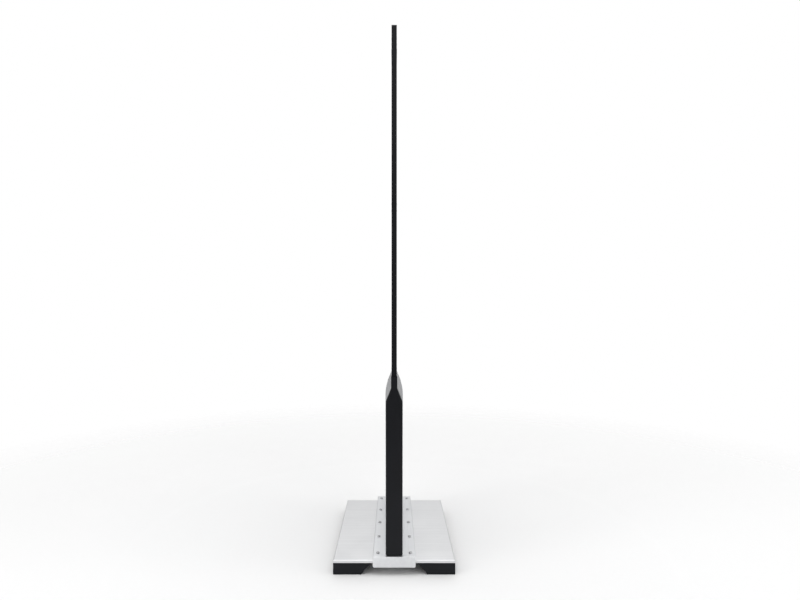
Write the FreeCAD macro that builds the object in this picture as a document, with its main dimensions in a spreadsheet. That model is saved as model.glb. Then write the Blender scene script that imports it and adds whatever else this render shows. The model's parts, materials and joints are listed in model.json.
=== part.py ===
import FreeCAD
import Part
import math
import os
import Sketcher
from FreeCAD import Vector

# Free-standing anti-theft gate. Millimetres. X runs across the passage, Y along the gate's depth and Z up.
# The origin is on the floor, in the middle of the base.
DRIVING_SIZES = {
    # base
    "plate_width": 370, "plate_length": 500, "plate_thickness": 8, "plate_edge_round": 3,
    "foot_height": 36, "foot_width": 120, "foot_setback": 1, "foot_edge_round": 2, "foot_bevel": 0.8,
    "pad_rise": 0.4, "pad_thickness": 3, "pad_size": 44, "pad_corner": 5, "pad_gap": 0.4, "pad_pitch": 165,
    "arch_radius": 117, "arch_drop": 60.6,
    "ballast_width": 66, "ballast_length": 440, "ballast_height": 24, "ballast_inset": 10,
    "foot_screw_across": 22, "foot_screw_along": 236, "foot_screw_radius": 3, "foot_screw_bite": 5,
    "foot_screw_head_radius": 5.5, "foot_screw_head_height": 4, "foot_screw_recess": 6,
    "foot_screw_recess_radius": 6, "foot_socket_flats": 5, "foot_socket_depth": 2.5,
    # channel along the base, its screws and the cable inlet
    "spine_width": 129, "spine_length": 514, "spine_sheet": 3, "spine_edge_round": 1.6,
    "lip_height": 32, "lip_chamfer": 4, "lip_edge_round": 1.2,
    "spreader_width": 112, "spreader_length": 492, "spreader_thickness": 10,
    "base_screw_pitch": 115, "base_screw_offset": 50, "base_screw_radius": 3, "base_screw_hole": 3.3,
    "base_screw_head_radius": 5.25, "base_screw_head_height": 3.3, "base_screw_head_round": 2.2,
    "base_screw_length": 19, "base_socket_flats": 4, "base_socket_depth": 2,
    "inlet_radius": 11, "inlet_across": -6, "inlet_along": 90,
    "grommet_wall": 3, "grommet_flange": 3, "grommet_flange_thickness": 2.5,
    # the gate's own flange and its bolts
    "shoe_width": 42, "shoe_length": 492, "shoe_thickness": 6, "shoe_corner": 3,
    "gate_bolt_offset": 13, "gate_bolt_pitch": 175, "gate_bolt_radius": 4, "gate_hole_radius": 4.5,
    "gate_bolt_flats": 13, "gate_bolt_head": 5.3, "gate_bolt_end": 3, "gate_nut_height": 6.5,
    "washer_radius": 8, "washer_thickness": 1.6,
    # antenna frame
    "gate_top": 1665, "frame_thickness": 16, "frame_depth": 28, "frame_length": 492, "frame_wall": 2.5,
    "frame_edge_round": 1, "chamber_width": 10, "chamber_depth": 11, "groove_width": 8.6, "groove_depth": 12,
    "corner_round": 4, "corner_leg": 17, "lower_rail_top": 598,
    "cross_rail_middle": 1113.5, "cross_rail_height": 44, "cross_rail_round": 0.8,
    "tenon_length": 10, "tenon_height": 2.4, "tenon_gap": 0.1, "panel_thickness": 8, "panel_entry": 10,
    "joiner_thickness": 1.4, "joiner_length": 44, "joiner_gap": 1,
    "loop_radius": 1.5, "loop_depth": 4.5, "loop_bend": 5, "wire_hole_half": 2.5,
    "wire_passage_width": 5.6, "wire_passage_height": 14,
    "lens_length": 200, "lens_height": 8, "lens_rise": 0.8, "lens_edge_round": 0.6,
    "led_board_length": 210, "led_board_height": 6, "led_board_thickness": 1.6, "led_pitch": 20,
    # lower housing
    "housing_length": 500, "housing_width": 51, "housing_bow": 4, "shoulder_low": 521, "shoulder_high": 561,
    "neck_width": 19, "neck_top": 598, "shoulder_rise": 9,
    "cap_depth": 25, "cap_wall": 3, "cap_round": 4, "cap_bottom_round": 5, "cap_gap": 0.1,
    "cover_wall": 2.5, "cover_gap": 0.4, "cover_lift": 3.8,
    "slot_length": 34, "slot_height": 3, "slot_pitch": 8,
    "stud_along": 195, "stud_low": 100, "stud_high": 500, "stud_radius": 4, "stud_clearance": 0.3,
    "stud_root": 0.6, "stud_entry": 9, "clip_radius": 7, "clip_gap": 4, "clip_floor": 2,
    # chassis
    "chassis_thickness": 2.5, "chassis_length": 472, "chassis_bottom": 76, "chassis_top": 546,
    "chassis_corner": 6, "chassis_screw_along": 227, "chassis_screw_radius": 2, "chassis_screw_length": 5,
    "chassis_screw_head_radius": 3.8, "chassis_screw_head_height": 2.2,
    "button_hole": 6.3, "fuse_hole": 6.8, "switch_hole_width": 14, "switch_hole_height": 22,
}

doc = FreeCAD.newDocument("security_gate")
sheet = doc.addObject("Spreadsheet::Sheet", "Sizes")
for row, (alias, value) in enumerate(DRIVING_SIZES.items(), start=1):
    sheet.set("A%d" % row, alias)
    sheet.set("B%d" % row, str(value))
    sheet.setAlias("B%d" % row, alias)
doc.recompute()

X_AXIS = Vector(1, 0, 0)
Y_AXIS = Vector(0, 1, 0)
Z_AXIS = Vector(0, 0, 1)
sub_parts = []


def size(alias):
    """The value of one driving dimension, for shapes made with Part's own functions."""
    return float(sheet.get(alias))


def bound(text):
    """An expression in the sheet's aliases, from text that names them directly."""
    words = text.replace("(", " ( ").replace(")", " ) ").split()
    return " ".join("Sizes." + word if word in DRIVING_SIZES else word for word in words)


# ---- helpers for PartDesign bodies ----

def new_body(label, place=("0", "0", "0")):
    """A body that is one sub-part, placed by three expressions."""
    body = doc.addObject("PartDesign::Body", label)
    body.Label = label
    for axis, text in zip("xyz", place):
        body.setExpression("Placement.Base." + axis, bound(text))
    sub_parts.append(body)
    return body


def new_sketch(body, plane, offset="0"):
    """A sketch on one of the body's own origin planes, moved along the plane's normal by an expression."""
    sketch = body.newObject("Sketcher::SketchObject", body.Label + "_sketch")
    plane_feature = next(item for item in body.Origin.OriginFeatures if item.Role == plane)
    sketch.AttachmentSupport = [(plane_feature, "")]
    sketch.MapMode = "FlatFace"
    sketch.setExpression("AttachmentOffset.Base.z", bound(offset))
    return sketch


def fix_point(sketch, geometry, end, start, place):
    """Holds a point of the sketch at (x, y), both expressions."""
    for kind, guess, text in zip(("DistanceX", "DistanceY"), start, place):
        index = sketch.addConstraint(Sketcher.Constraint(kind, -1, 1, geometry, end, guess))
        sketch.setExpression("Constraints[%d]" % index, bound(text))


def add_outline(sketch, points):
    """A closed outline of straight edges through points given as pairs of expressions."""
    count = len(points)
    first = sketch.GeometryCount
    turn = 2 * math.pi / count
    start = [Vector(10 * math.cos(turn * step), 10 * math.sin(turn * step), 0) for step in range(count)]
    for step in range(count):
        sketch.addGeometry(Part.LineSegment(start[step], start[(step + 1) % count]), False)
    for step in range(count):
        following = first + (step + 1) % count
        sketch.addConstraint(Sketcher.Constraint("Coincident", first + step, 2, following, 1))
    for step, place in enumerate(points):
        fix_point(sketch, first + step, 1, (start[step].x, start[step].y), place)


def add_rectangle(sketch, low, high):
    """A rectangle between two corners, each a pair of expressions."""
    add_outline(sketch, [low, (high[0], low[1]), high, (low[0], high[1])])


def add_circle(sketch, centre, radius):
    """A circle with its centre and radius held by expressions."""
    index = sketch.addGeometry(Part.Circle(Vector(1, 1, 0), Z_AXIS, 2), False)
    fix_point(sketch, index, 3, (1, 1), centre)
    held = sketch.addConstraint(Sketcher.Constraint("Radius", index, 2))
    sketch.setExpression("Constraints[%d]" % held, bound(radius))


def pad(body, sketch, length, symmetric=False, reverse=False):
    feature = body.newObject("PartDesign::Pad", body.Label + "_pad")
    feature.Profile = sketch
    feature.setExpression("Length", bound(length))
    feature.SideType = "Symmetric" if symmetric else "One side"
    feature.Reversed = reverse
    doc.recompute()
    return feature


def pocket(body, sketch, length, symmetric=False, reverse=False):
    """Cuts the sketch into the body, and stops if the cut misses the solid."""
    before = body.Shape.Volume
    feature = body.newObject("PartDesign::Pocket", body.Label + "_pocket")
    feature.Profile = sketch
    feature.setExpression("Length", bound(length))
    feature.SideType = "Symmetric" if symmetric else "One side"
    feature.Reversed = reverse
    doc.recompute()
    if not body.Shape.Volume < before - 0.1:
        raise RuntimeError("a pocket of %s cuts nothing" % body.Label)
    return feature


def edge_names(shape, test):
    """Names of the edges whose box passes the test; the shape is in its body's own coordinates."""
    names = ["Edge%d" % index for index, edge in enumerate(shape.Edges, start=1) if test(edge.BoundBox)]
    if not names:
        raise RuntimeError("no edge passes a test")
    return names


def round_edges(body, radius, test):
    names = edge_names(body.Tip.Shape, test)
    base = body.Tip
    feature = body.newObject("PartDesign::Fillet", body.Label + "_fillet")
    feature.Base = (base, names)
    feature.setExpression("Radius", bound(radius))
    doc.recompute()
    return feature


def bevel_edges(body, width, test):
    names = edge_names(body.Tip.Shape, test)
    base = body.Tip
    feature = body.newObject("PartDesign::Chamfer", body.Label + "_chamfer")
    feature.Base = (base, names)
    feature.setExpression("Size", bound(width))
    doc.recompute()
    return feature


def is_at(low, high, value):
    """True when an edge's box is flat at one coordinate."""
    return abs(low - value) < 0.01 and abs(high - value) < 0.01


def block(label, low, high, edge_round=None):
    """A padded rectangular body between two corners given as expressions."""
    body = new_body(label)
    sketch = new_sketch(body, "XY_Plane", low[2])
    add_rectangle(sketch, low[:2], high[:2])
    pad(body, sketch, "(%s) - (%s)" % (high[2], low[2]))
    if edge_round:
        round_edges(body, edge_round, lambda box: box.ZLength > 1 and max(box.XLength, box.YLength) < 0.01)
    return body


# ---- helpers for shapes made with Part's own functions ----

def add_shape(label, shape):
    """A sub-part whose shape comes from Part functions, already in its place."""
    feature = doc.addObject("Part::Feature", label)
    feature.Label = label
    feature.Shape = shape
    sub_parts.append(feature)
    return feature


def box_between(low, high):
    """A box between two corners."""
    return Part.makeBox(high[0] - low[0], high[1] - low[1], high[2] - low[2], Vector(*low))


def edges_at_x(shape, value):
    return [edge for edge in shape.Edges if is_at(edge.BoundBox.XMin, edge.BoundBox.XMax, value)]


def edges_at_z(shape, value):
    return [edge for edge in shape.Edges if is_at(edge.BoundBox.ZMin, edge.BoundBox.ZMax, value)]


def rod(start, radius, length, direction=Z_AXIS):
    return Part.makeCylinder(radius, length, Vector(*start), direction)


def hexagon(centre, flats, height):
    """A hexagonal prism along +Z with the given width across its flats."""
    corner = flats / 2 / math.cos(math.pi / 6)
    turns = [math.pi / 3 * step for step in range(7)]
    points = [Vector(centre[0] + corner * math.cos(turn), centre[1] + corner * math.sin(turn), centre[2])
              for turn in turns]
    return Part.Face(Part.makePolygon(points)).extrude(Vector(0, 0, height))


def group(shapes):
    return Part.makeCompound(shapes)


def routed_wire(points):
    """A path of straight runs joined by tangent arcs, each as large as its two runs allow."""
    points = [Vector(*point) for point in points]
    edges = []
    last = points[0]
    for before, corner, after in zip(points, points[1:], points[2:]):
        entry = (before - corner).normalize()
        leave = (after - corner).normalize()
        reach = 0.45 * min((before - corner).Length, (after - corner).Length)
        half_turn = (math.pi - entry.getAngle(leave)) / 2
        radius = reach / math.tan(half_turn)
        toward_centre = (entry + leave).normalize()
        middle = corner + toward_centre * (radius / math.cos(half_turn) - radius)
        arc_start = corner + entry * reach
        arc_end = corner + leave * reach
        edges.append(Part.LineSegment(last, arc_start).toShape())
        edges.append(Part.Arc(arc_start, middle, arc_end).toShape())
        last = arc_end
    edges.append(Part.LineSegment(last, points[-1]).toShape())
    return Part.Wire(edges)


def tube_along(path, radius):
    """A round solid along a path; its volume is compared with its section times its length."""
    start = path.Edges[0].valueAt(path.Edges[0].FirstParameter)
    direction = path.Edges[0].tangentAt(path.Edges[0].FirstParameter)
    section = Part.Wire(Part.makeCircle(radius, start, direction))
    solid = path.makePipeShell([section], True, True)
    expected = math.pi * radius ** 2 * path.Length
    if abs(solid.Volume - expected) > 0.02 * expected:
        raise RuntimeError("a tube has the wrong volume")
    return solid


# ---- places that several pieces share ----

# how far a cutting shape reaches past the face that it cuts
PAST = 1
PLATE_TOP = size("foot_height") + size("plate_thickness")
SPINE_TOP = PLATE_TOP + size("spreader_thickness") + size("spine_sheet")
SHOE_TOP = SPINE_TOP + size("shoe_thickness")
PLATE_TOP_TEXT = "(foot_height + plate_thickness)"
SPINE_TOP_TEXT = "(foot_height + plate_thickness + spreader_thickness + spine_sheet)"
SHOE_TOP_TEXT = "(foot_height + plate_thickness + spreader_thickness + spine_sheet + shoe_thickness)"
PAD_PLACES = (-size("pad_pitch"), 0, size("pad_pitch"))
BASE_SCREWS = [(side * size("base_screw_offset"), step * size("base_screw_pitch"))
               for side in (-1, 1) for step in (-2, -1, 0, 1, 2)]
GATE_BOLTS = [(side * size("gate_bolt_offset"), step * size("gate_bolt_pitch"))
              for side in (-1, 1) for step in (-1, 0, 1)]

FRAME_END = size("frame_length") / 2
FRAME_HALF = size("frame_thickness") / 2
CHAMBER_MIDDLE = size("frame_wall") + size("chamber_depth") / 2
LOWER_RAIL_BOTTOM = size("lower_rail_top") - size("frame_depth")
CROSS_LOW = size("cross_rail_middle") - size("cross_rail_height") / 2
CROSS_HIGH = size("cross_rail_middle") + size("cross_rail_height") / 2
JOINT_LEVEL = size("gate_top") - size("frame_depth") - size("corner_leg")
UPPER_LOOP_LOW = size("cross_rail_middle") + 3
LOWER_LOOP_HIGH = size("cross_rail_middle") - 3
LOWER_LOOP_LOW = LOWER_RAIL_BOTTOM + CHAMBER_MIDDLE

HOUSING_END = size("housing_length") / 2
CAP_SEAM = HOUSING_END - size("cap_depth")
COVER_END = CAP_SEAM - size("cover_gap")
COVER_BOTTOM = SPINE_TOP + size("cover_lift")
STUDS = [(along, level) for along in (-size("stud_along"), size("stud_along"))
         for level in (size("stud_low"), size("stud_high"))]

CHASSIS_FACE = FRAME_HALF
CHASSIS_BACK = FRAME_HALF + size("chassis_thickness")
CHASSIS_SCREW_LEVELS = (140, 240, 340, 440)
CONTROL_FACE = CHASSIS_BACK + 2

# places on the chassis, along the gate and above the floor
SWITCH_PLACE = (-30, 150)
BUTTON_PLACE = (15, 150)
FUSE_PLACE = (60, 150)
EARTH_PLACE = (160, 96)
SOUNDER_PLACE = (130, 440)
ROCKER_PIVOT = CONTROL_FACE - 4
ROCKER_TILT = 12
BOARD_LOW = (-60, 290)
BOARD_HIGH = (110, 480)
TUNING_LOW = (-46, 497)
TUNING_HIGH = (56, 547)
BOARD_FACE = -4.5
BOARD_THICKNESS = 1.6
SUPPLY_LOW = (-182, 112)
SUPPLY_HIGH = (-84, 271)
TERMINAL_LOW = (108, 96)
TERMINAL_HIGH = (146, 118)

# the alarm light's wire in the rear upright
ALARM_WIRE_DEPTH = 11
ALARM_WIRE_ENTRY = 461
ALARM_WIRE_ACROSS = -2.55
ALARM_WIRE_BEND = 3


def base_screw_circles(sketch, radius):
    for side in ("-", ""):
        for step in ("-2", "-1", "0", "1", "2"):
            add_circle(sketch, (side + " base_screw_offset", step + " * base_screw_pitch"), radius)


def gate_bolt_circles(sketch):
    for side in ("-", ""):
        for step in ("-1", "0", "1"):
            add_circle(sketch, (side + " gate_bolt_offset", step + " * gate_bolt_pitch"), "gate_hole_radius")


# ---- base ----

def make_base_plate():
    body = new_body("base_plate", ("0", "0", "foot_height"))
    sketch = new_sketch(body, "XY_Plane")
    add_rectangle(sketch, ("- plate_width / 2", "- plate_length / 2"),
                  ("plate_width / 2", "plate_length / 2"))
    pad(body, sketch, "plate_thickness")
    holes = new_sketch(body, "XY_Plane")
    base_screw_circles(holes, "base_screw_radius")
    gate_bolt_circles(holes)
    add_circle(holes, ("inlet_across", "inlet_along"), "inlet_radius")
    pocket(body, holes, "2 * plate_thickness", symmetric=True)
    blind_holes = new_sketch(body, "XY_Plane")
    for across, along in foot_screw_places():
        add_circle(blind_holes, (str(across), str(along)), "foot_screw_radius")
    pocket(body, blind_holes, "foot_screw_bite + 0.5", reverse=True)
    top = size("plate_thickness")
    half_length = size("plate_length") / 2
    round_edges(body, "plate_edge_round", lambda box: is_at(box.ZMin, box.ZMax, top)
                and (is_at(box.YMin, box.YMax, -half_length) or is_at(box.YMin, box.YMax, half_length)
                     or box.YLength > 400))


def foot_middle(side):
    """Middle of a foot's ballast, across the gate."""
    return side * (size("plate_width") / 2 - size("ballast_inset") - size("ballast_width") / 2)


def foot_screw_places():
    """Four screws to a foot, two at each end beyond the ballast bar."""
    across = size("foot_screw_across")
    along = size("foot_screw_along")
    return [(foot_middle(side) + step * across, end * along)
            for side in (-1, 1) for step in (-1, 1) for end in (-1, 1)]


def make_foot(side, label):
    """A moulded block with an arched inner end, a pocket for its ballast and a recess for its pads."""
    sign = "-" if side < 0 else ""
    body = new_body(label)
    sketch = new_sketch(body, "XY_Plane", "pad_rise")
    outer = sign + " plate_width / 2"
    inner = "%s (plate_width / 2 - foot_width)" % sign
    along = "(plate_length / 2 - foot_setback)"
    add_rectangle(sketch, (inner, "- " + along), (outer, along))
    pad(body, sketch, "foot_height - pad_rise")
    arch = new_sketch(body, "XZ_Plane")
    add_circle(arch, ("0", "- arch_drop"), "arch_radius")
    pocket(body, arch, "2 * plate_length", symmetric=True)
    ballast = new_sketch(body, "XY_Plane", "foot_height")
    middle = "(plate_width / 2 - ballast_inset - ballast_width / 2)"
    across = [sign + " " + middle + " - ballast_width / 2", sign + " " + middle + " + ballast_width / 2"]
    add_rectangle(ballast, (across[0], "- ballast_length / 2"), (across[1], "ballast_length / 2"))
    pocket(body, ballast, "ballast_height")
    holes = new_sketch(body, "XY_Plane")
    for place in foot_screw_places():
        if place[0] * side > 0:
            add_circle(holes, (str(place[0]), str(place[1])), "foot_screw_radius")
    pocket(body, holes, "2 * foot_height", symmetric=True)
    heads = new_sketch(body, "XY_Plane", "pad_rise")
    for place in foot_screw_places():
        if place[0] * side > 0:
            add_circle(heads, (str(place[0]), str(place[1])), "foot_screw_recess_radius")
    pocket(body, heads, "foot_screw_recess", reverse=True)
    recesses = new_sketch(body, "XY_Plane", "pad_thickness")
    for along in PAD_PLACES:
        reach = size("pad_size") / 2 + size("pad_gap")
        low = (str(foot_middle(side) - reach), str(along - reach))
        high = (str(foot_middle(side) + reach), str(along + reach))
        add_rectangle(recesses, low, high)
    pocket(body, recesses, "pad_thickness")
    outer_x = side * size("plate_width") / 2
    round_edges(body, "foot_edge_round", lambda box: is_at(box.XMin, box.XMax, outer_x) and box.ZLength > 20)
    bevel_edges(body, "foot_bevel",
                lambda box: is_at(box.ZMin, box.ZMax, size("pad_rise")) and box.YLength > 400)


def make_base():
    make_base_plate()
    half_ballast = size("ballast_length") / 2
    for side, name in ((-1, "left"), (1, "right")):
        make_foot(side, "foot_" + name)
        middle = foot_middle(side)
        bottom = size("foot_height") - size("ballast_height")
        bar = box_between((middle - size("ballast_width") / 2, -half_ballast, bottom),
                          (middle + size("ballast_width") / 2, half_ballast, size("foot_height")))
        add_shape("ballast_" + name, bar)
    pads = []
    for side in (-1, 1):
        for along in PAD_PLACES:
            low = (foot_middle(side) - size("pad_size") / 2, along - size("pad_size") / 2, 0)
            high = (low[0] + size("pad_size"), low[1] + size("pad_size"), size("pad_thickness"))
            pad_solid = box_between(low, high)
            uprights = [edge for edge in pad_solid.Edges if edge.BoundBox.ZLength > 1]
            pads.append(pad_solid.makeFillet(size("pad_corner"), uprights))
    add_shape("foot_pads", group(pads))
    seat = size("pad_rise") + size("foot_screw_recess")
    head_height = size("foot_screw_head_height")
    screws = []
    for across, along in foot_screw_places():
        shank = rod((across, along, seat), size("foot_screw_radius"),
                    size("foot_height") + size("foot_screw_bite") - seat)
        head = rod((across, along, seat - head_height), size("foot_screw_head_radius"), head_height)
        socket = hexagon((across, along, seat - head_height), size("foot_socket_flats"),
                         size("foot_socket_depth"))
        screws.append(shank.fuse(head).cut(socket))
    add_shape("foot_screws", group(screws))


def make_spine_cover():
    """Folded channel with open ends turned down over the plate's edges."""
    body = new_body("spine_cover", ("0", "0", PLATE_TOP_TEXT))
    rise = "(spreader_thickness + spine_sheet)"
    sketch = new_sketch(body, "XY_Plane")
    add_rectangle(sketch, ("- spine_width / 2", "- spine_length / 2"),
                  ("spine_width / 2", "spine_length / 2"))
    pad(body, sketch, rise)
    inside = new_sketch(body, "XY_Plane")
    half = ("(spine_width / 2 - spine_sheet)", "(spine_length / 2 - spine_sheet)")
    add_rectangle(inside, ("- " + half[0], "- " + half[1]), half)
    pocket(body, inside, "spreader_thickness", reverse=True)
    drop = "(lip_height - spreader_thickness - spine_sheet)"
    for offset, reverse in (("spine_length / 2", True), ("- spine_length / 2", False)):
        lip = new_sketch(body, "XZ_Plane", offset)
        add_outline(lip, [
            ("- spine_width / 2", "0"),
            ("- spine_width / 2", "- %s + lip_chamfer" % drop),
            ("- spine_width / 2 + lip_chamfer", "- %s" % drop),
            ("spine_width / 2 - lip_chamfer", "- %s" % drop),
            ("spine_width / 2", "- %s + lip_chamfer" % drop),
            ("spine_width / 2", "0"),
        ])
        pad(body, lip, "spine_sheet", reverse=reverse)
    holes = new_sketch(body, "XY_Plane")
    base_screw_circles(holes, "base_screw_hole")
    gate_bolt_circles(holes)
    add_circle(holes, ("inlet_across", "inlet_along"), "inlet_radius")
    pocket(body, holes, "4 * spreader_thickness", symmetric=True)
    top = size("spreader_thickness") + size("spine_sheet")
    round_edges(body, "spine_edge_round", lambda box: is_at(box.ZMin, box.ZMax, top)
                and (box.YLength > 400 or (box.XLength > 100 and abs(box.YMin) > 250)))
    lip_bottom = size("spreader_thickness") + size("spine_sheet") - size("lip_height")
    lip_face = size("spine_length") / 2
    round_edges(body, "lip_edge_round", lambda box: is_at(box.ZMin, box.ZMax, lip_bottom)
                and (is_at(box.YMin, box.YMax, lip_face) or is_at(box.YMin, box.YMax, -lip_face)))


def make_spine():
    make_spine_cover()
    body = block("spreader_plate", ("- spreader_width / 2", "- spreader_length / 2", PLATE_TOP_TEXT),
                 ("spreader_width / 2", "spreader_length / 2", PLATE_TOP_TEXT + " + spreader_thickness"))
    holes = new_sketch(body, "XY_Plane", PLATE_TOP_TEXT)
    base_screw_circles(holes, "base_screw_hole")
    gate_bolt_circles(holes)
    add_circle(holes, ("inlet_across", "inlet_along"), "inlet_radius")
    pocket(body, holes, "4 * spreader_thickness", symmetric=True)
    screws = []
    head_height = size("base_screw_head_height")
    for across, along in BASE_SCREWS:
        head = rod((across, along, SPINE_TOP), size("base_screw_head_radius"), head_height)
        head = head.makeFillet(size("base_screw_head_round"), edges_at_z(head, SPINE_TOP + head_height))
        length = size("base_screw_length")
        shank = rod((across, along, SPINE_TOP - length), size("base_screw_radius"), length)
        socket = hexagon((across, along, SPINE_TOP + head_height - size("base_socket_depth")),
                         size("base_socket_flats"), size("base_socket_depth") + PAST)
        screws.append(head.fuse(shank).cut(socket))
    add_shape("spine_screws", group(screws))
    make_grommet()


def make_grommet():
    """Rubber cable inlet through the base, with a flange under the plate."""
    across, along = size("inlet_across"), size("inlet_along")
    seat = size("foot_height")
    flange_bottom = seat - size("grommet_flange_thickness")
    sleeve = rod((across, along, seat), size("inlet_radius"), SHOE_TOP - seat)
    flange = rod((across, along, flange_bottom), size("inlet_radius") + size("grommet_flange"),
                 size("grommet_flange_thickness"))
    flange = flange.makeFillet(1, edges_at_z(flange, flange_bottom))
    bore = rod((across, along, flange_bottom - PAST), size("inlet_radius") - size("grommet_wall"),
               SHOE_TOP - flange_bottom + 2 * PAST)
    add_shape("cable_grommet", sleeve.fuse(flange).cut(bore))


def make_shoe():
    body = block("mounting_shoe", ("- shoe_width / 2", "- shoe_length / 2", SPINE_TOP_TEXT),
                 ("shoe_width / 2", "shoe_length / 2", SHOE_TOP_TEXT), "shoe_corner")
    holes = new_sketch(body, "XY_Plane", SPINE_TOP_TEXT)
    gate_bolt_circles(holes)
    add_circle(holes, ("inlet_across", "inlet_along"), "inlet_radius")
    pocket(body, holes, "4 * shoe_thickness", symmetric=True)
    bolts, washers, nuts = [], [], []
    radius = size("gate_bolt_radius")
    under = size("foot_height") - size("washer_thickness")
    nut_seat = SHOE_TOP + size("washer_thickness")
    for across, along in GATE_BOLTS:
        shank_top = nut_seat + size("gate_nut_height") + size("gate_bolt_end")
        head = hexagon((across, along, under - size("gate_bolt_head")), size("gate_bolt_flats"),
                       size("gate_bolt_head"))
        bolts.append(head.fuse(rod((across, along, under), radius, shank_top - under)))
        for bottom in (under, SHOE_TOP):
            ring = rod((across, along, bottom), size("washer_radius"), size("washer_thickness"))
            washers.append(ring.cut(rod((across, along, bottom), radius, size("washer_thickness"))))
        nut = hexagon((across, along, nut_seat), size("gate_bolt_flats"), size("gate_nut_height"))
        nuts.append(nut.cut(rod((across, along, nut_seat), radius, size("gate_nut_height"))))
    add_shape("gate_bolts", group(bolts))
    add_shape("gate_washers", group(washers))
    add_shape("gate_nuts", group(nuts))


# ---- antenna frame ----

def frame_face(outer_edge, inward):
    """The frame's section: a rounded outer edge, a closed chamber for wires and a groove for the panels."""
    half = FRAME_HALF
    edge_round = size("frame_edge_round")
    shift = edge_round * (1 - math.cos(math.pi / 4))
    depth = size("frame_depth")
    groove_half = size("groove_width") / 2
    groove_bottom = depth - size("groove_depth")

    def at(across, down):
        return outer_edge + X_AXIS * across + inward * down

    outline = [
        Part.Arc(at(-half, edge_round), at(shift - half, shift), at(edge_round - half, 0)).toShape(),
        Part.makeLine(at(edge_round - half, 0), at(half - edge_round, 0)),
        Part.Arc(at(half - edge_round, 0), at(half - shift, shift), at(half, edge_round)).toShape(),
        Part.makePolygon([at(half, edge_round), at(half, depth), at(groove_half, depth),
                          at(groove_half, groove_bottom), at(-groove_half, groove_bottom),
                          at(-groove_half, depth), at(-half, depth), at(-half, edge_round)]),
    ]
    edges = [edge for shape in outline for edge in shape.Edges]
    chamber_half = size("chamber_width") / 2
    top = size("frame_wall")
    bottom = top + size("chamber_depth")
    chamber = Part.makePolygon([at(-chamber_half, top), at(chamber_half, top), at(chamber_half, bottom),
                                at(-chamber_half, bottom), at(-chamber_half, top)])
    return Part.Face(Part.Wire(Part.__sortEdges__(edges))).cut(Part.Face(chamber)).Faces[0]


def make_stile(side, label):
    """Upright of the frame; wires of the two loops pass through its inner wall."""
    start = Vector(0, side * FRAME_END, SHOE_TOP)
    shape = frame_face(start, Vector(0, -side, 0)).extrude(Vector(0, 0, JOINT_LEVEL - SHOE_TOP))
    half = size("wire_hole_half")
    chamber = side * (FRAME_END - CHAMBER_MIDDLE)
    low_y, high_y = sorted((chamber, chamber - side * 12))
    for low, high in ((LOWER_LOOP_HIGH, UPPER_LOOP_LOW), (LOWER_LOOP_LOW, LOWER_LOOP_LOW)):
        shape = shape.cut(box_between((-half, low_y, low - half), (half, high_y, high + half)))
    if side > 0:
        entry_half = 11
        shape = shape.cut(box_between((-4, low_y, ALARM_WIRE_ENTRY - entry_half),
                                      (0, high_y, ALARM_WIRE_ENTRY + entry_half)))
    bite = size("chassis_screw_length") - size("chassis_thickness")
    for level in CHASSIS_SCREW_LEVELS:
        hole = rod((FRAME_HALF - bite - 1.5, side * size("chassis_screw_along"), level),
                   size("chassis_screw_radius"), bite + 1.5 + PAST, X_AXIS)
        shape = shape.cut(hole)
    add_shape(label, shape)


def make_top_rail():
    """Top of the frame: a rail mitred to a short leg at each end, with a window for the lens in each face."""
    top = size("gate_top")
    span = 2 * FRAME_END
    shape = frame_face(Vector(0, -FRAME_END, top), Vector(0, 0, -1)).extrude(Vector(0, span, 0))
    legs = []
    for side in (-1, 1):
        legs.append(frame_face(Vector(0, side * FRAME_END, JOINT_LEVEL), Vector(0, -side, 0))
                    .extrude(Vector(0, 0, top - JOINT_LEVEL)))
    outside = FRAME_HALF + PAST
    outline = [Vector(-outside, -FRAME_END, top), Vector(-outside, FRAME_END, top),
               Vector(-outside, 0, top - FRAME_END)]
    wedge = Part.Face(Part.makePolygon(outline + outline[:1])).extrude(Vector(2 * outside, 0, 0))
    shape = shape.common(wedge)
    for leg in legs:
        shape = shape.fuse(leg.cut(wedge))
    shape = shape.removeSplitter()
    corner = size("corner_round")
    for side in (-1, 1):
        middle = side * (FRAME_END - corner)
        low_y, high_y = sorted((middle, side * (FRAME_END + PAST)))
        waste = box_between((-outside, low_y, top - corner), (outside, high_y, top + PAST))
        keep = rod((-outside - PAST, middle, top - corner), corner, 2 * (outside + PAST), X_AXIS)
        shape = shape.cut(waste.cut(keep))
    half_lens = size("lens_length") / 2
    middle = top - CHAMBER_MIDDLE
    window = box_between((-outside, -half_lens, middle - size("lens_height") / 2),
                         (outside, half_lens, middle + size("lens_height") / 2))
    add_shape("top_rail", shape.cut(window))


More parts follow.
